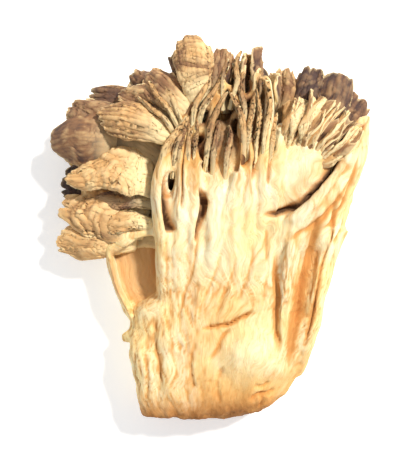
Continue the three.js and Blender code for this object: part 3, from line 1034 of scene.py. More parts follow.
@dataclass
class LeftStack(FrondGroup):
    """The stacked caps on the left, seen on their upper skins, and the ones under them."""

    name: str = "left_fronds"

    def fronds(self) -> list[Frond]:
        """From the crown down to the foot, then the layer under them."""
        return [
            Frond(
                [(-8.6, 19.4, 16), (-14, 21.4, 18.6), (-20, 23.2, 18), (-26.4, 24, 14.8)],
                [1.8, 3.6, 4.6, 3.8], (0, 0.1, 1), arch=0.75, round=0.3, lobes=0.1, ribs=0.5,
                rib_count=9, crumple=0.3, ruffle=0.5, zones=0.04, tone=0.25, seed=1, finely=(60, 76),
            ),
            Frond(
                [(-19, 17, 9), (-25, 18.8, 14), (-31, 19.4, 14), (-37.2, 18.4, 9.8)], [5, 6.2, 6.4, 5.2],
                (-0.2, 0.08, 1), arch=0.85, lobes=0.04, ribs=0.12, crumple=0.25, ruffle=0.3, zones=0.08,
                tone=0.66, seed=2, finely=(60, 76),
            ),
            Frond(
                [(-14.4, 11.8, 12), (-19, 12.6, 15.4), (-25.4, 12, 15.2), (-33.2, 10.4, 13.2)],
                [5.4, 5.8, 3.9, 1.2], (-0.1, 0.3, 1), arch=0.35, round=0.12, lobes=0.14, ribs=0.3,
                rib_count=7, crumple=0.9, ruffle=1.2, grain=(5, 3.4), tone=0.02, seed=3, finely=(64, 80),
            ),
            Frond(
                [(-15, 2.4, 9.4), (-21, 3.6, 12), (-28, 4.8, 12.2), (-35, 5.4, 9.2)], [5, 6.6, 6.8, 5.4],
                (-0.1, 0.22, 1), arch=0.55, lobes=0.14, ribs=0.2, rib_count=6, crumple=0.9, ruffle=1.4,
                zones=0.35, grain=(7, 2.6), tone=0.22, seed=4, finely=(64, 80),
            ),
            Frond(
                [(-18, -2.4, 8.6), (-24, -3, 10.8), (-30, -3.2, 10.8), (-36.2, -2.8, 8.4)],
                [3, 4.2, 4.6, 3.6], (-0.1, -0.1, 1), arch=0.75, ribs=0.1, crumple=0.5, ruffle=0.5,
                zones=0.05, tone=0.05, seed=5, finely=(60, 70),
            ),
            Frond(
                [(-13.6, 0.4, 12.4), (-18, 1, 13.6), (-22.6, 1, 13.4), (-26.6, 0.4, 12)],
                [1.2, 2, 2.4, 1.8], (0, 0.25, 1), arch=0.4, lobes=0.16, ribs=0.3, crumple=0.7,
                ruffle=1.3, tone=0.1, seed=6,
            ),
            Frond(
                [(-14, 5.4, 11.6), (-18, 6, 12.8), (-22.6, 6, 12.6), (-27, 5.6, 11)], [1.2, 1.6, 2, 1.4],
                (0, 0.2, 1), arch=0.4, lobes=0.16, ribs=0.3, crumple=0.8, ruffle=1.3, tone=0.75, seed=35,
            ),
            Frond(
                [(-12, 15, 10.6), (-20, 20, 12.4), (-28, 24, 12), (-33.4, 26, 9.6)], [4, 5, 5, 3.6],
                (-0.1, 0.1, 1), arch=0.6, tone=0.75, seed=7,
            ),
            # A tone above 1 paints this frond in shade, as it lies under the others.
            Frond(
                [(-15, 8, 8), (-23, 9.6, 9.6), (-30, 10, 9), (-35.2, 10, 7)], [4, 5.6, 6, 4.6],
                (-0.2, 0, 1), arch=0.5, tone=1.6, seed=8,
            ),
            Frond(
                [(-6, 12, 8), (-17, 15, 6.6), (-26, 18, 5.4), (-34, 21, 4.4)], [6, 8, 9, 6],
                (0.1, -0.1, -1), arch=0.5, ruffle=1.8, tone=0.7, seed=9,
            ),
            Frond(
                [(-12, 0, 7.4), (-20, 1, 6.4), (-28, 0.4, 5.4), (-34, -1, 4.6)], [5, 6.4, 7.2, 5],
                (0.1, 0.1, -1), arch=0.5, ruffle=1.6, tone=0.5, seed=10,
            ),
            Frond(
                [(-12, 6, 5.6), (-19, 8.6, 4.4), (-26, 10, 3.4), (-32, 11, 3.4)], [4, 6, 6.6, 4.6],
                (0.2, 0, -1), arch=0.6, ruffle=1.4, tone=0.6, seed=11,
            ),
        ]


@dataclass
class UpperFronds(FrondGroup):
    """The fronds between the left stack and the crown's middle, with the tallest cap among them."""

    name: str = "upper_fronds"

    def fronds(self) -> list[Frond]:
        """From left to right, the lowest layer first."""
        return [
            Frond(
                [(-8, 16, 9), (-15, 22.4, 11), (-22, 26.6, 11), (-29.6, 28.4, 8.4)], [4.6, 5.2, 5, 3.4],
                (-0.1, 0.1, 1), arch=0.6, tone=0.85, seed=12,
            ),
            Frond(
                [(-4, 17, 9.6), (-10, 24.6, 11.6), (-14.6, 30.2, 11.6), (-19, 34, 9)],
                [4.4, 5.6, 5.8, 4.2], (-0.2, 0.3, 1), arch=0.6, tone=0.8, seed=13,
            ),
            Frond(
                [(-4.6, 24, 17.2), (-8.6, 27, 18.4), (-12.6, 30.6, 17), (-15.4, 33.6, 13.4)],
                [1.4, 3, 4.2, 3.4], (-0.1, 0.2, 1), arch=0.5, ribs=0.55, rib_count=8, tone=0.45, seed=14,
            ),
            Frond(
                [(-7, 21.4, 16.6), (-11.5, 24.8, 17), (-16.4, 27.8, 15.6), (-21.6, 30, 12)],
                [1.4, 2.4, 3.2, 2.6], (-0.1, 0.1, 1), arch=0.6, ribs=0.5, tone=0.55, seed=15,
            ),
            Frond(
                [(-3.2, 25, 17), (-4.2, 31, 19.6), (-4.8, 36.4, 20), (-5.8, 41.4, 16.8)],
                [1.8, 3.6, 4.8, 4.2], (0.1, -0.15, 1), arch=0.7, ribs=0.12, zones=0.3, grain=(9, 1.5),
                crumple=0.5, ruffle=0.5, tone=0.34, seed=16, finely=(60, 90),
            ),
            Frond(
                [(-2.6, 23, 13), (-6, 30, 14.6), (-9, 38, 13)], [2.4, 3.8, 3.4], (-0.8, 0, 0.6),
                arch=0.4, tone=0.95, seed=17,
            ),
            Frond(
                [(-1, 25, 15.6), (0.8, 32, 18.2), (2, 38.4, 16.4)], [2, 3, 2.8], (0.3, -0.1, 1),
                arch=0.7, ribs=0.4, tone=0.6, seed=18,
            ),
            Frond(
                [(-2, 20, 10), (-3, 29, 11), (-3.4, 36, 9.4)], [6, 7.4, 6], (0, 0.1, 1), arch=0.5,
                tone=0.9, seed=19,
            ),
        ]


@dataclass
class TopPlates(FrondGroup):
    """Thin plates that stand on edge along the top of the crown, and the caps between them.

    Attributes:
        foot: Where the plates leave the throat, in mm.
    """

    name: str = "top_plates"
    foot: float = 25.5

    def fronds(self) -> list[Frond]:
        """The plates from left to right, then the caps behind them."""
        plates = [
            (2.6, 3.4, 37.8, 0.3, 0.5), (4.6, 5.2, 36.4, -0.3, 0.3), (6.2, 6.8, 38, 0.2, 0.6),
            (7.8, 8.4, 35.4, -0.2, 0.3), (9.2, 9.8, 39.4, 0.3, 0.7), (12.2, 13, 33.6, -0.3, 0.8),
        ]
        made = [
            Frond(
                [
                    (root, self.foot, 10.6), ((root + tip) / 2, (self.foot + top) / 2, 13.4),
                    (tip, top, 13.6),
                ],
                [2.6, 4.6, 4.4], (1, 0, lean), arch=0.35, thick=(1.6, 0.9), ruffle=1, waves=2, ribs=0.3,
                tone=tone, seed=20 + k,
            )
            for k, (root, tip, top, lean, tone) in enumerate(plates)
        ]
        made += [
            Frond(
                [(13, 22, 10), (15, 28.6, 13), (15.4, 34.8, 11.6)], [3, 3.6, 3], (-0.2, 0.3, 1),
                arch=0.7, tone=0.5, seed=27,
            ),
            # The next two caps have a tone above 1, which paints them in shade between the plates.
            Frond(
                [(4, 20, 9), (5, 29, 9.6), (5.4, 37, 8)], [6, 8, 6.6], (0, 0.1, 1), arch=0.5, tone=1.3,
                seed=28,
            ),
            Frond(
                [(14, 14, 8), (16, 24, 9.6), (17.6, 32, 8.6)], [5, 6, 5], (0, 0.1, 1), arch=0.5,
                tone=1.5, seed=29,
            ),
        ]
        return made


@dataclass
class Throat(FrondGroup):
    """Narrow ribbons of flesh that run over the strands into the crown, around the dark eye in its middle.

    Attributes:
        width: Half width of a ribbon, in mm.
    """

    name: str = "throat_ribbons"
    width: float = 0.55

    def fronds(self) -> list[Frond]:
        """The eye's rim first, then the ribbons from left to right."""
        routes = [
            ([(-2.4, 10.6, 14.6), (-1.6, 18, 18.6), (-0.2, 23.6, 19.6), (2.6, 29, 19.4)], 0.9, 0.3),
            ([(6, 11.6, 15), (6.1, 19, 18.8), (5.4, 24, 19.6), (2.8, 29.4, 19.4)], 0.9, 0.3),
            ([(-0.6, 9.6, 15), (-0.4, 16, 18.2), (0.4, 20, 18.2), (1, 22.6, 17.4)], 0.8, 0.5),
            ([(2, 8.6, 15.2), (2.4, 15, 18.4), (3.2, 19, 18.4), (3, 22, 17.2)], 0.9, 0.45),
            ([(-7.4, 19.2, 16.6), (-10, 24.6, 19), (-12.6, 28, 18.4), (-14.6, 31.6, 16.4)], 0.7, 0.15),
            ([(-6.6, 20, 16.8), (-8.6, 26, 19.2), (-10.6, 29.6, 18.4), (-12, 33, 16)], 0.7, 0.3),
            ([(-8, 18.2, 16.4), (-11, 22.8, 18.8), (-14, 25.4, 18.4), (-17, 28.2, 16.8)], 0.6, 0.2),
            ([(-5.4, 18.6, 16.8), (-4.6, 25, 19.6), (-2.6, 29, 19.8), (-0.6, 33.6, 18.6)], 0.6, 0.15),
            ([(-4.4, 17.6, 16.6), (-2.8, 25, 19.6), (0.2, 29.6, 19.6), (2.4, 34.6, 18.4)], 0.7, 0.25),
            ([(-12.6, 9.6, 15.4), (-11, 16.6, 18.6), (-8.6, 20, 19), (-6.2, 23.6, 19.2)], 0.9, 0.05),
            ([(-9.6, 10.6, 15.6), (-8.6, 17, 18.2), (-7, 20.6, 18.6), (-5.4, 24, 18.8)], 0.5, 0.4),
            ([(-6, 9.6, 15.8), (-5.9, 16, 18.4), (-5.6, 20, 18.8), (-5.8, 23.6, 19)], 0.5, 0.3),
            ([(-8, 9.6, 15.4), (-7.9, 16, 17.8), (-7, 19.6, 18.4), (-6, 22, 18.8)], 0.45, 0.5),
            ([(-4.4, 9.6, 16), (-4.6, 16, 18.4), (-4.2, 20, 18.8), (-3.6, 24, 19)], 0.45, 0.35),
            ([(7, 12.6, 15.8), (7.2, 19.6, 18.6), (7.9, 24.6, 18.8), (8.8, 30, 18)], 0.5, 0.25),
            ([(8.6, 10.6, 15.6), (8.8, 18.6, 18.4), (9.6, 24, 18.8), (9, 29.6, 18.6)], 0.5, 0.1),
            (
                [
                    (10, 10.6, 15.6), (10.4, 19, 18.8), (11.6, 25, 19.4), (11, 30.6, 19.8),
                    (9.4, 31.8, 19.4),
                ],
                0.7, 0.05,
            ),
            ([(11.6, 9.6, 14.6), (12.2, 17, 18), (12.6, 21, 18.2), (13.4, 24.6, 17.6)], 0.6, 0.05),
            ([(5.6, 17.6, 16.8), (6.2, 25, 19.4), (5.4, 30, 19), (6.8, 35, 17.4)], 0.5, 0.35),
            ([(3, 25.2, 17.4), (4.6, 31, 19), (4.4, 35, 17.8), (5.6, 38, 16.4)], 0.6, 0.3),
            ([(1.6, 25, 17.4), (1.4, 31, 19.4), (2.4, 35, 18), (1.8, 38, 16.6)], 0.6, 0.4),
        ]
        return [
            Frond(
                spine,
                [self.width * share * grown for grown in (0.3, 0.9, 1, 0.8)],
                (0.4 * math.sin(2.1 * k), 0, 1), tip_face=(0.9 * math.sin(2.1 * k + 1), 0, 1),
                arch=0.7, thick=(1.5, 0.8), round=0.3, lobes=0.1, ruffle=0.25, waves=1, ribs=0.12,
                rib_count=3, crumple=0.12, zones=0.05, grain=(1.2, 3), tone=tone, seed=140 + k,
                finely=(10, 60),
            )
            for k, (spine, share, tone) in enumerate(routes)
        ]


@dataclass
class RightCrown(FrondGroup):
    """The fan of wavy plates along the right sheet's rim, with dark caps behind them.

    Attributes:
        hub: Where the plates fan out from, x and y.
        plates: How many plates there are.
        first: Direction of the first plate, in degrees from +X.
        last: Direction of the last plate.
    """

    name: str = "right_crown"
    hub: tuple[float, float] = (11.0, 5.0)
    plates: int = 19
    first: float = 76.0
    last: float = 34.0

    def ray(self, turn: float, reach: float, height: float) -> Point:
        """A point at a reach from the hub, in a direction and at a height."""
        return (self.hub[0] + reach * math.cos(turn), self.hub[1] + reach * math.sin(turn), height)

    def fronds(self) -> list[Frond]:
        """The plates from left to right, then the caps behind them."""
        made = []
        for k in range(self.plates):
            share = k / (self.plates - 1)
            jitter = float(noise(np.array([[2.3 * k, 0.5, 0.5]]), 61)[0])
            turn = math.radians(self.first + (self.last - self.first) * share + 3 * jitter)
            far = 22.8 + 2.8 * math.sin(2.8 * share + 0.1) + 2.4 * share + 1.8 * jitter
            spine = [self.ray(turn, *step) for step in ((10, 11), (15, 14), (19.6, 15.6), (far, 14.6))]
            dx, dy = math.cos(turn), math.sin(turn)
            made.append(
                Frond(
                    spine, [2.4, 3, 3.6, 3.2], (-dy, dx, 0.35 * jitter), tip_face=(-dy, dx, 0.9 * jitter),
                    arch=0.4, thick=(1.4, 0.7), lobes=0.22, ruffle=2, waves=3, ribs=0.25, crumple=0.6,
                    tone=0.1 + 0.24 * (k % 3), seed=70 + k, finely=(28, 56),
                )
            )
        made += [
            Frond(
                [(16, 16, 11), (19.8, 26, 14.4), (22, 35, 13.4)], [3.6, 4.6, 4], (-0.3, 0.2, 1),
                arch=0.6, ruffle=1.2, tone=0.95, seed=30,
            ),
            Frond(
                [(19, 15, 12), (24.4, 25, 15), (27.4, 33.4, 13.6)], [3.6, 4.8, 4.4], (0.1, 0.2, 1),
                arch=0.6, ruffle=1.2, tone=0.9, seed=31,
            ),
            Frond(
                [(21, 13, 11), (27.4, 22.4, 13.6), (32.6, 28.6, 12)], [3.6, 4.8, 4], (0.2, 0.1, 1),
                arch=0.6, ruffle=1.2, tone=0.8, seed=32,
            ),
            # The last two caps have a tone above 1, which paints them in shade under the plates.
            Frond(
                [(17, 12, 7.4), (22, 24, 8), (25, 33, 6.6)], [6, 7, 6], (0, 0, 1), arch=0.5, ruffle=1.2,
                tone=1.3, seed=33,
            ),
            Frond(
                [(20, 8, 7.4), (27, 17, 8), (31.6, 25.6, 7)], [5, 6.4, 5.4], (0.2, 0, 1), arch=0.5,
                ruffle=1.2, tone=1.3, seed=34,
            ),
        ]
        return made


@dataclass
class Underside(FrondGroup):
    """The caps that the cluster lies on."""

    name: str = "under_fronds"

    def fronds(self) -> list[Frond]:
        """From right to left."""
        caps = [
            ([(12, -6, 5.4), (20, 8, 2.4), (26, 18, 3.4), (30.4, 26.6, 7)], [6, 8.4, 8.6, 6]),
            ([(10, 0, 5.6), (15, 13, 2.6), (18, 23, 3.6), (20, 32, 7)], [6, 8, 8, 6]),
            ([(4, 0, 5.6), (6, 14, 2.2), (6.6, 25, 3), (6, 35, 6.6)], [7, 9, 9, 7]),
            ([(0, 0, 5.6), (-4, 13, 2.6), (-7, 24, 3.4), (-8.4, 34, 7)], [6, 8, 8, 6]),
            ([(-4, 0, 5.6), (-10, 11, 2.8), (-15, 21, 3.6), (-18.6, 30, 7)], [6, 8, 8, 6]),
        ]
        return [
            Frond(
                spine, widths, (0, 0, -1), arch=0.5, thick=(2.4, 1.1), ruffle=1.6, waves=3, ribs=0.4,
                tone=0.75, seed=90 + k, finely=(56, 60),
            )
            for k, (spine, widths) in enumerate(caps)
        ]


# ---------------------------------------------------------------------------------------------------------
# Finishes
# ---------------------------------------------------------------------------------------------------------


def srgb(red: int, green: int, blue: int) -> Colour:
    """A colour of 0 to 255 on a screen as the shader's linear numbers."""
    shares = (value / 255 for value in (red, green, blue))
    return (*(s / 12.92 if s <= 0.04045 else ((s + 0.055) / 1.055) ** 2.4 for s in shares), 1.0)


class Value:
    """A shader socket that takes part in Python arithmetic: each operator adds a Math node."""

    def __init__(self, shader: "Shader", socket: bpy.types.NodeSocket) -> None:
        """Wraps a socket of a shader's tree."""
        self.shader = shader
        self.socket = socket

    def _math(self, operation: str, *values: Number) -> "Value":
        """One Math node on up to three values."""
        made = self.shader.node("ShaderNodeMath", {"operation": operation}, dict(enumerate(values)))
        return Value(self.shader, made.outputs[0])

    def __add__(self, other: Number) -> "Value":
        """The sum."""
        return self._math("ADD", self, other)

    __radd__ = __add__

    def __sub__(self, other: Number) -> "Value":
        """The difference."""
        return self._math("SUBTRACT", self, other)

    def __rsub__(self, other: Number) -> "Value":
        """The difference the other way round."""
        return self._math("SUBTRACT", other, self)

    def __neg__(self) -> "Value":
        """The value with its sign turned."""
        return 0 - self

    def __mul__(self, other: Number) -> "Value":
        """The product."""
        return self._math("MULTIPLY", self, other)

    __rmul__ = __mul__

    def __pow__(self, power: Number) -> "Value":
        """The value to a power."""
        return self._math("POWER", self, power)

    def highest(self, other: Number) -> "Value":
        """The higher of two values."""
        return self._math("MAXIMUM", self, other)

    def size(self) -> "Value":
        """The value without its sign."""
        return self._math("ABSOLUTE", self)

    def clear(self) -> "Value":
        """The value kept between 0 and 1."""
        made = self.shader.node("ShaderNodeClamp", {}, {"Value": self})
        return Value(self.shader, made.outputs[0])

    def rise(self, low: float, high: float) -> "Value":
        """Smoothly from 0 to 1.

        Args:
            low: Where it leaves 0.
            high: Where it reaches 1.

        Returns:
            The eased value.
        """
        made = self.shader.node(
            "ShaderNodeMapRange",
            {"interpolation_type": "SMOOTHSTEP"},
            {"Value": self, "From Min": low, "From Max": high},
        )
        return Value(self.shader, made.outputs[0])


class Shader:
    """A material's node tree under construction."""

    def __init__(self, name: str, **constants: object) -> None:
        """Starts a material.

        Args:
            name: The material's name.
            **constants: Numbers for the surface's own sockets, with _ for each space in a socket's name.
        """
        self.material = bpy.data.materials.new(name)
        self.material.use_nodes = True
        self.tree = self.material.node_tree
        self.tree.nodes.clear()
        self.surface = self.node("ShaderNodeBsdfPrincipled", {}, {})
        out = self.node("ShaderNodeOutputMaterial", {}, {})
        self.tree.links.new(self.surface.outputs[0], out.inputs[0])
        for key, value in constants.items():
            self.surface.inputs[key.replace("_", " ")].default_value = value

    def node(self, kind: str, settings: dict, inputs: dict) -> bpy.types.Node:
        """Adds a node.

        Args:
            kind: The node's type.
            settings: The node's own settings, which are set first.
            inputs: A number, colour, Value or socket for each input, by its name or number.

        Returns:
            The node.
        """
        made = self.tree.nodes.new(kind)
        for key, value in settings.items():
            setattr(made, key, value)
        for key, value in inputs.items():
            if isinstance(value, Value):
                value = value.socket
            if isinstance(value, bpy.types.NodeSocket):
                self.tree.links.new(value, made.inputs[key])
            else:
                made.inputs[key].default_value = value
        return made

    def stored(self, name: str) -> tuple[bpy.types.NodeSocket, list[Value]]:
        """The three numbers kept on the mesh under a name.

        Args:
            name: The attribute's name.

        Returns:
            The numbers as one vector and as three values.
        """
        vector = self.node("ShaderNodeAttribute", {"attribute_name": name}, {}).outputs["Vector"]
        split = self.node("ShaderNodeSeparateXYZ", {}, {0: vector})
        return vector, [Value(self, out) for out in split.outputs]

    def triple(self, x: Number, y: Number, z: Number) -> bpy.types.NodeSocket:
        """A vector from three values."""
        return self.node("ShaderNodeCombineXYZ", {}, {0: x, 1: y, 2: z}).outputs[0]

    def place(self, scale: float) -> bpy.types.NodeSocket:
        """The place on the object.

        Args:
            scale: What its metres are multiplied by.

        Returns:
            The place as a vector.
        """
        where = self.node("ShaderNodeTexCoord", {}, {}).outputs["Object"]
        inputs = {0: where, "Scale": scale}
        return self.node("ShaderNodeVectorMath", {"operation": "SCALE"}, inputs).outputs[0]

    def grain(self, vector: bpy.types.NodeSocket, scale: float, detail: float = 3.0) -> Value:
        """Noise from 0 to 1, with its middle at a half.

        Args:
            vector: The place that it is read at.
            scale: Features for each unit of length.
            detail: How many finer layers lie on it.

        Returns:
            The noise.
        """
        inputs = {"Vector": vector, "Scale": scale, "Detail": detail, "Roughness": 0.6}
        return Value(self, self.node("ShaderNodeTexNoise", {}, inputs).outputs[0])

    def mix(self, share: Number, first: Paint, second: Paint) -> bpy.types.NodeSocket:
        """Mixes two colours.

        Args:
            share: How much of the second colour there is, from 0 to 1.
            first: The first colour.
            second: The second colour.

        Returns:
            The mixed colour.
        """
        inputs = {0: share, 6: first, 7: second}
        return self.node("ShaderNodeMix", {"data_type": "RGBA"}, inputs).outputs[2]

    def finish(
        self, colour: bpy.types.NodeSocket, roughness: Value, height: Value, depth: float
    ) -> bpy.types.Material:
        """Joins the colour, the roughness and the fine relief to the surface.

        Args:
            colour: The base colour.
            roughness: The roughness.
            height: The fine relief, from 0 to 1.
            depth: How deep the relief is, in metres.

        Returns:
            The material.
        """
        bump = self.node("ShaderNodeBump", {}, {"Height": height, "Distance": depth, "Strength": 1.0})
        self.tree.links.new(colour, self.surface.inputs["Base Color"])
        self.tree.links.new(roughness.socket, self.surface.inputs["Roughness"])
        self.tree.links.new(bump.outputs[0], self.surface.inputs["Normal"])
        return self.material


class Slot(Enum):
    """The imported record's material slots."""

    FLESH = "stem_flesh"
    SKIN = "frond_skin"


@dataclass(frozen=True)
class StemFlesh:
    """Dry, fibrous flesh: cream on the ridges and orange-tan in the creases, partly as painted shade, with
    painted shade in its gaps, hollows, pocket and towards the foot.

    Attributes:
        pale: The lightest flesh.
        cream: The flesh in broad patches.
        tan: Streaks; creases, partly as painted shade; the trough; and painted shade in the fold's hollow and
            over the lower stem.
        deep_tan_and_shade: The deepest creases and the cut foot, partly their own colour and partly painted
            shade, and painted shade in the slits.
        floor: The floor of the pocket, partly its own tan and partly painted shade.
        brown: Painted shade in the gaps of the throat.
        shade: Deep gaps that no light reaches.
        grain_depth: Depth of the finest relief, in metres.
    """

    pale: Colour = srgb(255, 248, 212)
    cream: Colour = srgb(253, 230, 168)
    tan: Colour = srgb(230, 176, 104)
    deep_tan_and_shade: Colour = srgb(200, 134, 70)
    floor: Colour = srgb(220, 172, 116)
    brown: Colour = srgb(132, 92, 66)
    shade: Colour = srgb(84, 56, 38)
    grain_depth: float = 0.00035

    def build(self) -> bpy.types.Material:
        """The finish as a material."""
        shader = Shader(
            Slot.FLESH.value,
            Specular_IOR_Level=0.25,
            Subsurface_Weight=0.12,
            Subsurface_Radius=(1.0, 0.55, 0.3),
            Subsurface_Scale=0.0012,
        )
        flow, _ = shader.stored("flow")
        _, (crease, thin, foot) = shader.stored("look")
        _, (hidden, _, _) = shader.stored("occlusion_shade")
        _, (floor, trough, slit) = shader.stored("tint")
        broad = shader.grain(shader.place(1), 70, 3)
        mottle = shader.grain(shader.place(1), 420, 4)
        streak = shader.grain(flow, 1.3, 4)
        thread = shader.grain(flow, 5.5, 3)
        vein = 1 - (2 * shader.grain(flow, 1.7, 2) - 1).size().rise(0, 0.1)
        colour = shader.mix(broad.rise(0.35, 0.65), self.pale, self.cream)
        colour = shader.mix(streak.rise(0.5, 0.75) * 0.4, colour, self.tan)
        colour = shader.mix(vein * (0.25 + 0.35 * thin), colour, self.tan)
        # The trough's own orange-tan, with painted shade in the fold's hollow and over the lower stem.
        colour = shader.mix((trough * (0.35 + 0.7 * broad)).clear(), colour, self.tan)
        # Creases turn tan, the deepest ones darker: partly the flesh's own colour, partly painted shade.
        colour = shader.mix((crease * (0.8 + 0.8 * streak)).clear() * 0.95, colour, self.tan)
        colour = shader.mix((crease - 0.4).clear() * (0.6 + thread), colour, self.deep_tan_and_shade)
        colour = shader.mix(thin.rise(0.35, 1) * (0.2 + 0.5 * streak), colour, self.tan)
        # Painted shade: near the crown, the gaps that the occlusion finds turn brown.
        colour = shader.mix(thin.rise(0.5, 1) * hidden.rise(0.15, 0.6) * 0.8, colour, self.brown)
        # Towards the cut foot the flesh darkens to nearly black at the edge: partly its own colour, partly
        # painted shade.
        colour = shader.mix((foot * (0.45 + 1.1 * mottle)).clear(), colour, self.deep_tan_and_shade)
        colour = shader.mix(foot ** 3 * mottle, colour, self.shade)
        # Partly painted shade: the floor of the pocket turns tan.
        colour = shader.mix(floor * (0.8 + 0.2 * streak), colour, self.floor)
        # Painted shade: the slits, the fold and the pocket's shadowed corner turn orange-brown, then nearly
        # black.
        colour = shader.mix(slit.rise(0.05, 0.5) * 0.7, colour, self.deep_tan_and_shade)
        colour = shader.mix(slit.rise(0.45, 1) * 0.9, colour, self.shade)
        # Painted shade: where the occlusion is high, the flesh turns nearly black.
        colour = shader.mix(hidden.rise(0.5, 0.95) * 0.92, colour, self.shade)
        relief = 0.4 * streak + 0.25 * thread + 0.2 * mottle + 0.1 * (1 - vein)
        return shader.finish(colour, 0.72 + 0.2 * mottle, relief, self.grain_depth)


@dataclass(frozen=True)
class FrondSkin:
    """Frond skin: brown and streaked above, cream and finely pored below, pale along the rim, with painted
    shade in its creases and gaps and a painted highlight on its crests.

    Attributes:
        ridge: Painted highlight on the crests of the wrinkles of pale fronds.
        tan: The lightest upper skin.
        brown: The upper skin of middle tone.
        dark: The darkest upper skin.
        rim: The pale, rubbed edge.
        flesh: The lower skin, and the root.
        pore: The pores of the lower skin.
        shade: Deep gaps, and the fronds behind the others.
        grain_depth: Depth of the finest relief, in metres.
    """

    ridge: Colour = srgb(244, 212, 158)
    tan: Colour = srgb(214, 168, 112)
    brown: Colour = srgb(142, 104, 74)
    dark: Colour = srgb(82, 63, 58)
    rim: Colour = srgb(248, 220, 168)
    flesh: Colour = srgb(250, 226, 174)
    pore: Colour = srgb(196, 154, 106)
    shade: Colour = srgb(50, 35, 27)
    grain_depth: float = 0.0004

    def build(self) -> bpy.types.Material:
        """The finish as a material."""
        shader = Shader(
            Slot.SKIN.value, Specular_IOR_Level=0.3, Subsurface_Weight=0.05, Subsurface_Scale=0.0006
        )
        _, (across, along, side) = shader.stored("place")
        _, (tone, seed, crease) = shader.stored("look")
        _, (hidden, _, _) = shader.stored("occlusion_shade")
        streak = shader.grain(shader.triple(across * 3.2, along * 0.7, seed * 3.1), 3, 4)
        zone = shader.grain(shader.triple(across * 0.5, along * 7, seed * 5.3), 1.6, 3)
        mottle = shader.grain(shader.place(1), 330, 4)
        speck = shader.grain(shader.place(1), 1500, 3)
        uneven = 0.75 * (streak - 0.5) + 0.6 * (zone - 0.5) + 0.6 * (mottle - 0.5)
        # Painted shade darkens the creases, and a painted highlight lightens the crests.
        depth = (tone + uneven + 0.35 * crease).clear()
        upper = shader.mix(depth.rise(0, 0.55), self.tan, self.brown)
        upper = shader.mix(depth.rise(0.5, 1), upper, self.dark)
        upper = shader.mix(((-0.15 - crease) * (1.2 - tone)).clear(), upper, self.ridge)
        lower = shader.mix(speck.rise(0.45, 0.62) * 0.6, self.flesh, self.pore)
        # Painted shade: creases of the lower skin turn to the pore colour.
        lower = shader.mix(crease.clear() * 0.8, lower, self.pore)
        colour = shader.mix(side.rise(0.35, 0.65), lower, upper)
        edge = (across.size() ** 5).highest(along ** 9) + 0.7 * (mottle - 0.5) + 0.3 * (speck - 0.5)
        band = 1 - (2 * side - 1).size()
        colour = shader.mix((edge.rise(0.55, 1) * 0.55 + band.rise(0, 0.8)).clear() * 0.85, colour, self.rim)
        root = (1 - along.rise(0.12, 0.55)) * (1.25 - 0.9 * tone).clear()
        colour = shader.mix(root * (0.75 + 0.4 * streak).clear(), colour, self.flesh)
        # Painted shade: a tone above 1 darkens the frond towards the shade colour, for fronds in shadow under
        # others.
        colour = shader.mix((tone - 1).clear(), colour, self.shade)
        # Painted shade: where the occlusion is high, the skin turns nearly black.
        colour = shader.mix(hidden.rise(0.6, 1) * 0.9, colour, self.shade)
        relief = 0.4 * streak + 0.35 * mottle + 0.25 * speck
        return shader.finish(colour, 0.66 + 0.3 * mottle, relief, self.grain_depth)


# ---------------------------------------------------------------------------------------------------------
# The whole cluster and the studio
# ---------------------------------------------------------------------------------------------------------


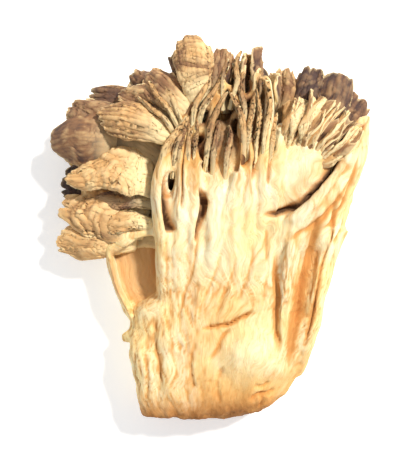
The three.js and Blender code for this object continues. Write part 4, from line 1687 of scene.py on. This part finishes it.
@dataclass
class Cluster:
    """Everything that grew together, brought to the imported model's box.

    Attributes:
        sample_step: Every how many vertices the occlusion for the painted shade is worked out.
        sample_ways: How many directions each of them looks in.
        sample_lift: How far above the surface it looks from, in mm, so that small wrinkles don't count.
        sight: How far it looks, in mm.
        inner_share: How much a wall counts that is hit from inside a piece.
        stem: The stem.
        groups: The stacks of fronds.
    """

    sample_step: int = 14
    sample_ways: int = 20
    sample_lift: float = 0.7
    sight: float = 9.0
    inner_share: float = 0.4
    stem: Stem = field(default_factory=Stem)
    groups: list[FrondGroup] = field(
        default_factory=lambda: [LeftStack(), UpperFronds(), TopPlates(), Throat(), RightCrown(), Underside()]
    )

    def build(self) -> list[bpy.types.Object]:
        """Forms, shades, dresses and declares every piece."""
        stem = self.stem.build()
        stacks = [group.build() for group in self.groups]
        BLANKS.clear()
        pieces = [stem, *stacks]
        self.occlusion_shade(pieces)
        for piece in pieces:
            self.settle(piece)
        finishes = {Slot.FLESH: StemFlesh().build(), Slot.SKIN: FrondSkin().build()}
        for piece in pieces:
            slot = Slot.FLESH if piece is stem else Slot.SKIN
            piece.data.materials.clear()
            piece.data.materials.append(finishes[slot])
            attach(piece, BODY)
            LOG.info("%s: %d faces", piece.name, len(piece.data.polygons))
        for piece in pieces:
            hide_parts(NODE)
        return pieces

    def occlusion_shade(self, pieces: Sequence[bpy.types.Object]) -> None:
        """Stores how hidden each vertex is from open air, from 0 in the open to 1 deep in a gap, which the
        materials paint as shade.

        Args:
            pieces: Every piece, still in the cluster's own millimetres.
        """
        corners, faces, start = [], [], 0
        for piece in pieces:
            points = points_of(piece)
            corners.append(points)
            faces += [[start + v for v in face.vertices] for face in piece.data.polygons]
            start += len(points)
        tree = BVHTree.FromPolygons(np.vstack(corners).tolist(), faces)
        ways = self.ways()
        neighbours = 4
        least_gap = 0.3
        for piece in pieces:
            points, normals = points_of(piece), points_of(piece, "normal")
            chosen = np.arange(0, len(points), self.sample_step)
            known = KDTree(len(chosen))
            found = np.zeros(len(chosen))
            for row, index in enumerate(chosen):
                origin = Vector(points[index] + self.sample_lift * normals[index])
                found[row] = self.hidden(tree, origin, normals[index], ways)
                known.insert(points[index], row)
            known.balance()
            spread = np.empty(len(points))
            for index, point in enumerate(points):
                near = known.find_n(point, neighbours)
                share = [1 / (gap + least_gap) for _, _, gap in near]
                spread[index] = sum(found[row] * s for (_, row, _), s in zip(near, share)) / sum(share)
            store(piece, "occlusion_shade", np.column_stack([spread, spread, spread]))

    def ways(self) -> np.ndarray:
        """Directions spread evenly over a ball, along a golden spiral, one to a row."""
        k = np.arange(self.sample_ways) + 0.5
        rise = 1 - 2 * k / self.sample_ways
        turn = math.pi * (1 + math.sqrt(5)) * k
        flat = np.sqrt(1 - rise**2)
        return np.column_stack([flat * np.cos(turn), flat * np.sin(turn), rise])

    def hidden(self, tree: BVHTree, origin: Vector, normal: np.ndarray, ways: np.ndarray) -> float:
        """How much of the open air above one place is blocked.

        Args:
            tree: The faces of every piece.
            origin: The place, just above the surface.
            normal: The surface's direction there.
            ways: Directions to look in.

        Returns:
            From 0 for none of it to 1, where a near wall counts more than a far one.
        """
        lean = ways @ normal
        grazing = 0.15
        total = blocked = 0.0
        for way in np.nonzero(lean > grazing)[0]:
            hit = tree.ray_cast(origin, Vector(ways[way]), self.sight)
            total += lean[way]
            if hit[0] is not None:
                inside = hit[1].dot(Vector(ways[way])) > 0
                near = self.inner_share if inside else 1 - 0.5 * hit[3] / self.sight
                blocked += lean[way] * near
        return blocked / max(total, 1e-6)

    def settle(self, piece: bpy.types.Object) -> None:
        """Brings a piece from the cluster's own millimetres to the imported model's box, above the surface.

        Args:
            piece: The piece, which is shaded smooth as well.
        """
        low, high = (np.array(corner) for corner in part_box(NODE))
        share = (points_of(piece) - DRAWN_LOW) / (DRAWN_HIGH - DRAWN_LOW)
        points = low + share * (high - low)
        points[:, 2] = np.maximum(points[:, 2], low[2])
        move_points(piece, points)
        deselect()
        piece.select_set(True)
        bpy.context.view_layer.objects.active = piece
        bpy.ops.object.shade_smooth()


@dataclass
class Studio:
    """A pale floor, soft light and a camera that looks straight down.

    Attributes:
        fill: Share of the view's height that the cluster takes up.
        lens: The camera's focal length, in mm.
        sun: Height of the main light and its direction, in degrees.
        sun_spread: How wide the main light is, in degrees, which softens its shadows.
        sun_power: Strength of the main light.
        sun_colour: Its warm white.
        sky_power: Strength of the even light from all around.
        floor_glow: Light that the floor gives off, which keeps its shadows faint.
        floor_size: Side of the floor, in metres.
    """

    fill: float = 0.87
    lens: float = 85.0
    sun: Spot = (50.0, 40.0)
    sun_spread: float = 7.0
    sun_power: float = 3.9
    sun_colour: Point = (1.0, 0.965, 0.9)
    sky_power: float = 0.5
    floor_glow: float = 0.42
    floor_size: float = 4.0

    def build(self, low: Vector, high: Vector) -> None:
        """Makes the floor, the lights and the camera around a box.

        Args:
            low: The box's lowest corner.
            high: The box's highest corner.
        """
        self.floor()
        self.lights()
        self.camera(low, high)

    def floor(self) -> None:
        """A wide pale surface under the cluster."""
        deselect()
        bpy.ops.mesh.primitive_plane_add(size=self.floor_size, location=(0, 0, 0))
        floor = bpy.context.object
        floor.name = "floor"
        shader = Shader("floor_white", Roughness=0.9, Specular_IOR_Level=0.1)
        shader.surface.inputs["Base Color"].default_value = (0.93, 0.925, 0.915, 1)
        shader.surface.inputs["Emission Color"].default_value = (1, 1, 1, 1)
        shader.surface.inputs["Emission Strength"].default_value = self.floor_glow
        floor.data.materials.append(shader.material)

    def lights(self) -> None:
        """A warm main light from the upper right and an even pale sky."""
        height, turn = (math.radians(angle) for angle in self.sun)
        lamp = bpy.data.lights.new("main_light", "SUN")
        lamp.energy = self.sun_power
        lamp.angle = math.radians(self.sun_spread)
        lamp.color = self.sun_colour
        light = bpy.data.objects.new("main_light", lamp)
        light.rotation_euler = Euler((0, math.pi / 2 - height, turn))
        bpy.context.scene.collection.objects.link(light)
        world = bpy.data.worlds.new("sky")
        world.use_nodes = True
        background = world.node_tree.nodes["Background"]
        background.inputs["Color"].default_value = (0.95, 0.97, 1.0, 1)
        background.inputs["Strength"].default_value = self.sky_power
        bpy.context.scene.world = world
        bpy.context.scene.view_settings.view_transform = "Standard"

    def camera(self, low: Vector, high: Vector) -> None:
        """A camera straight above the middle of the box, with the crown at the top of the view.

        Args:
            low: The box's lowest corner.
            high: The box's highest corner.
        """
        data = bpy.data.cameras.new("camera")
        data.lens = self.lens
        half = data.sensor_width / 2 / self.lens
        reach = (high.y - low.y) / 2 / self.fill / half
        camera = bpy.data.objects.new("camera", data)
        camera.location = ((low.x + high.x) / 2, (low.y + high.y) / 2, high.z + reach)
        bpy.context.scene.collection.objects.link(camera)
        bpy.context.scene.camera = camera


def main() -> None:
    """Builds the cluster and the studio."""
    logging.basicConfig(level=logging.INFO, format="%(name)s: %(message)s")
    pieces = Cluster().build()
    Studio().build(*(Vector(corner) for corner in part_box(NODE)))
    bpy.context.view_layer.update()
    LOG.info("%d pieces", len(pieces))


if __name__ == "__main__":
    main()
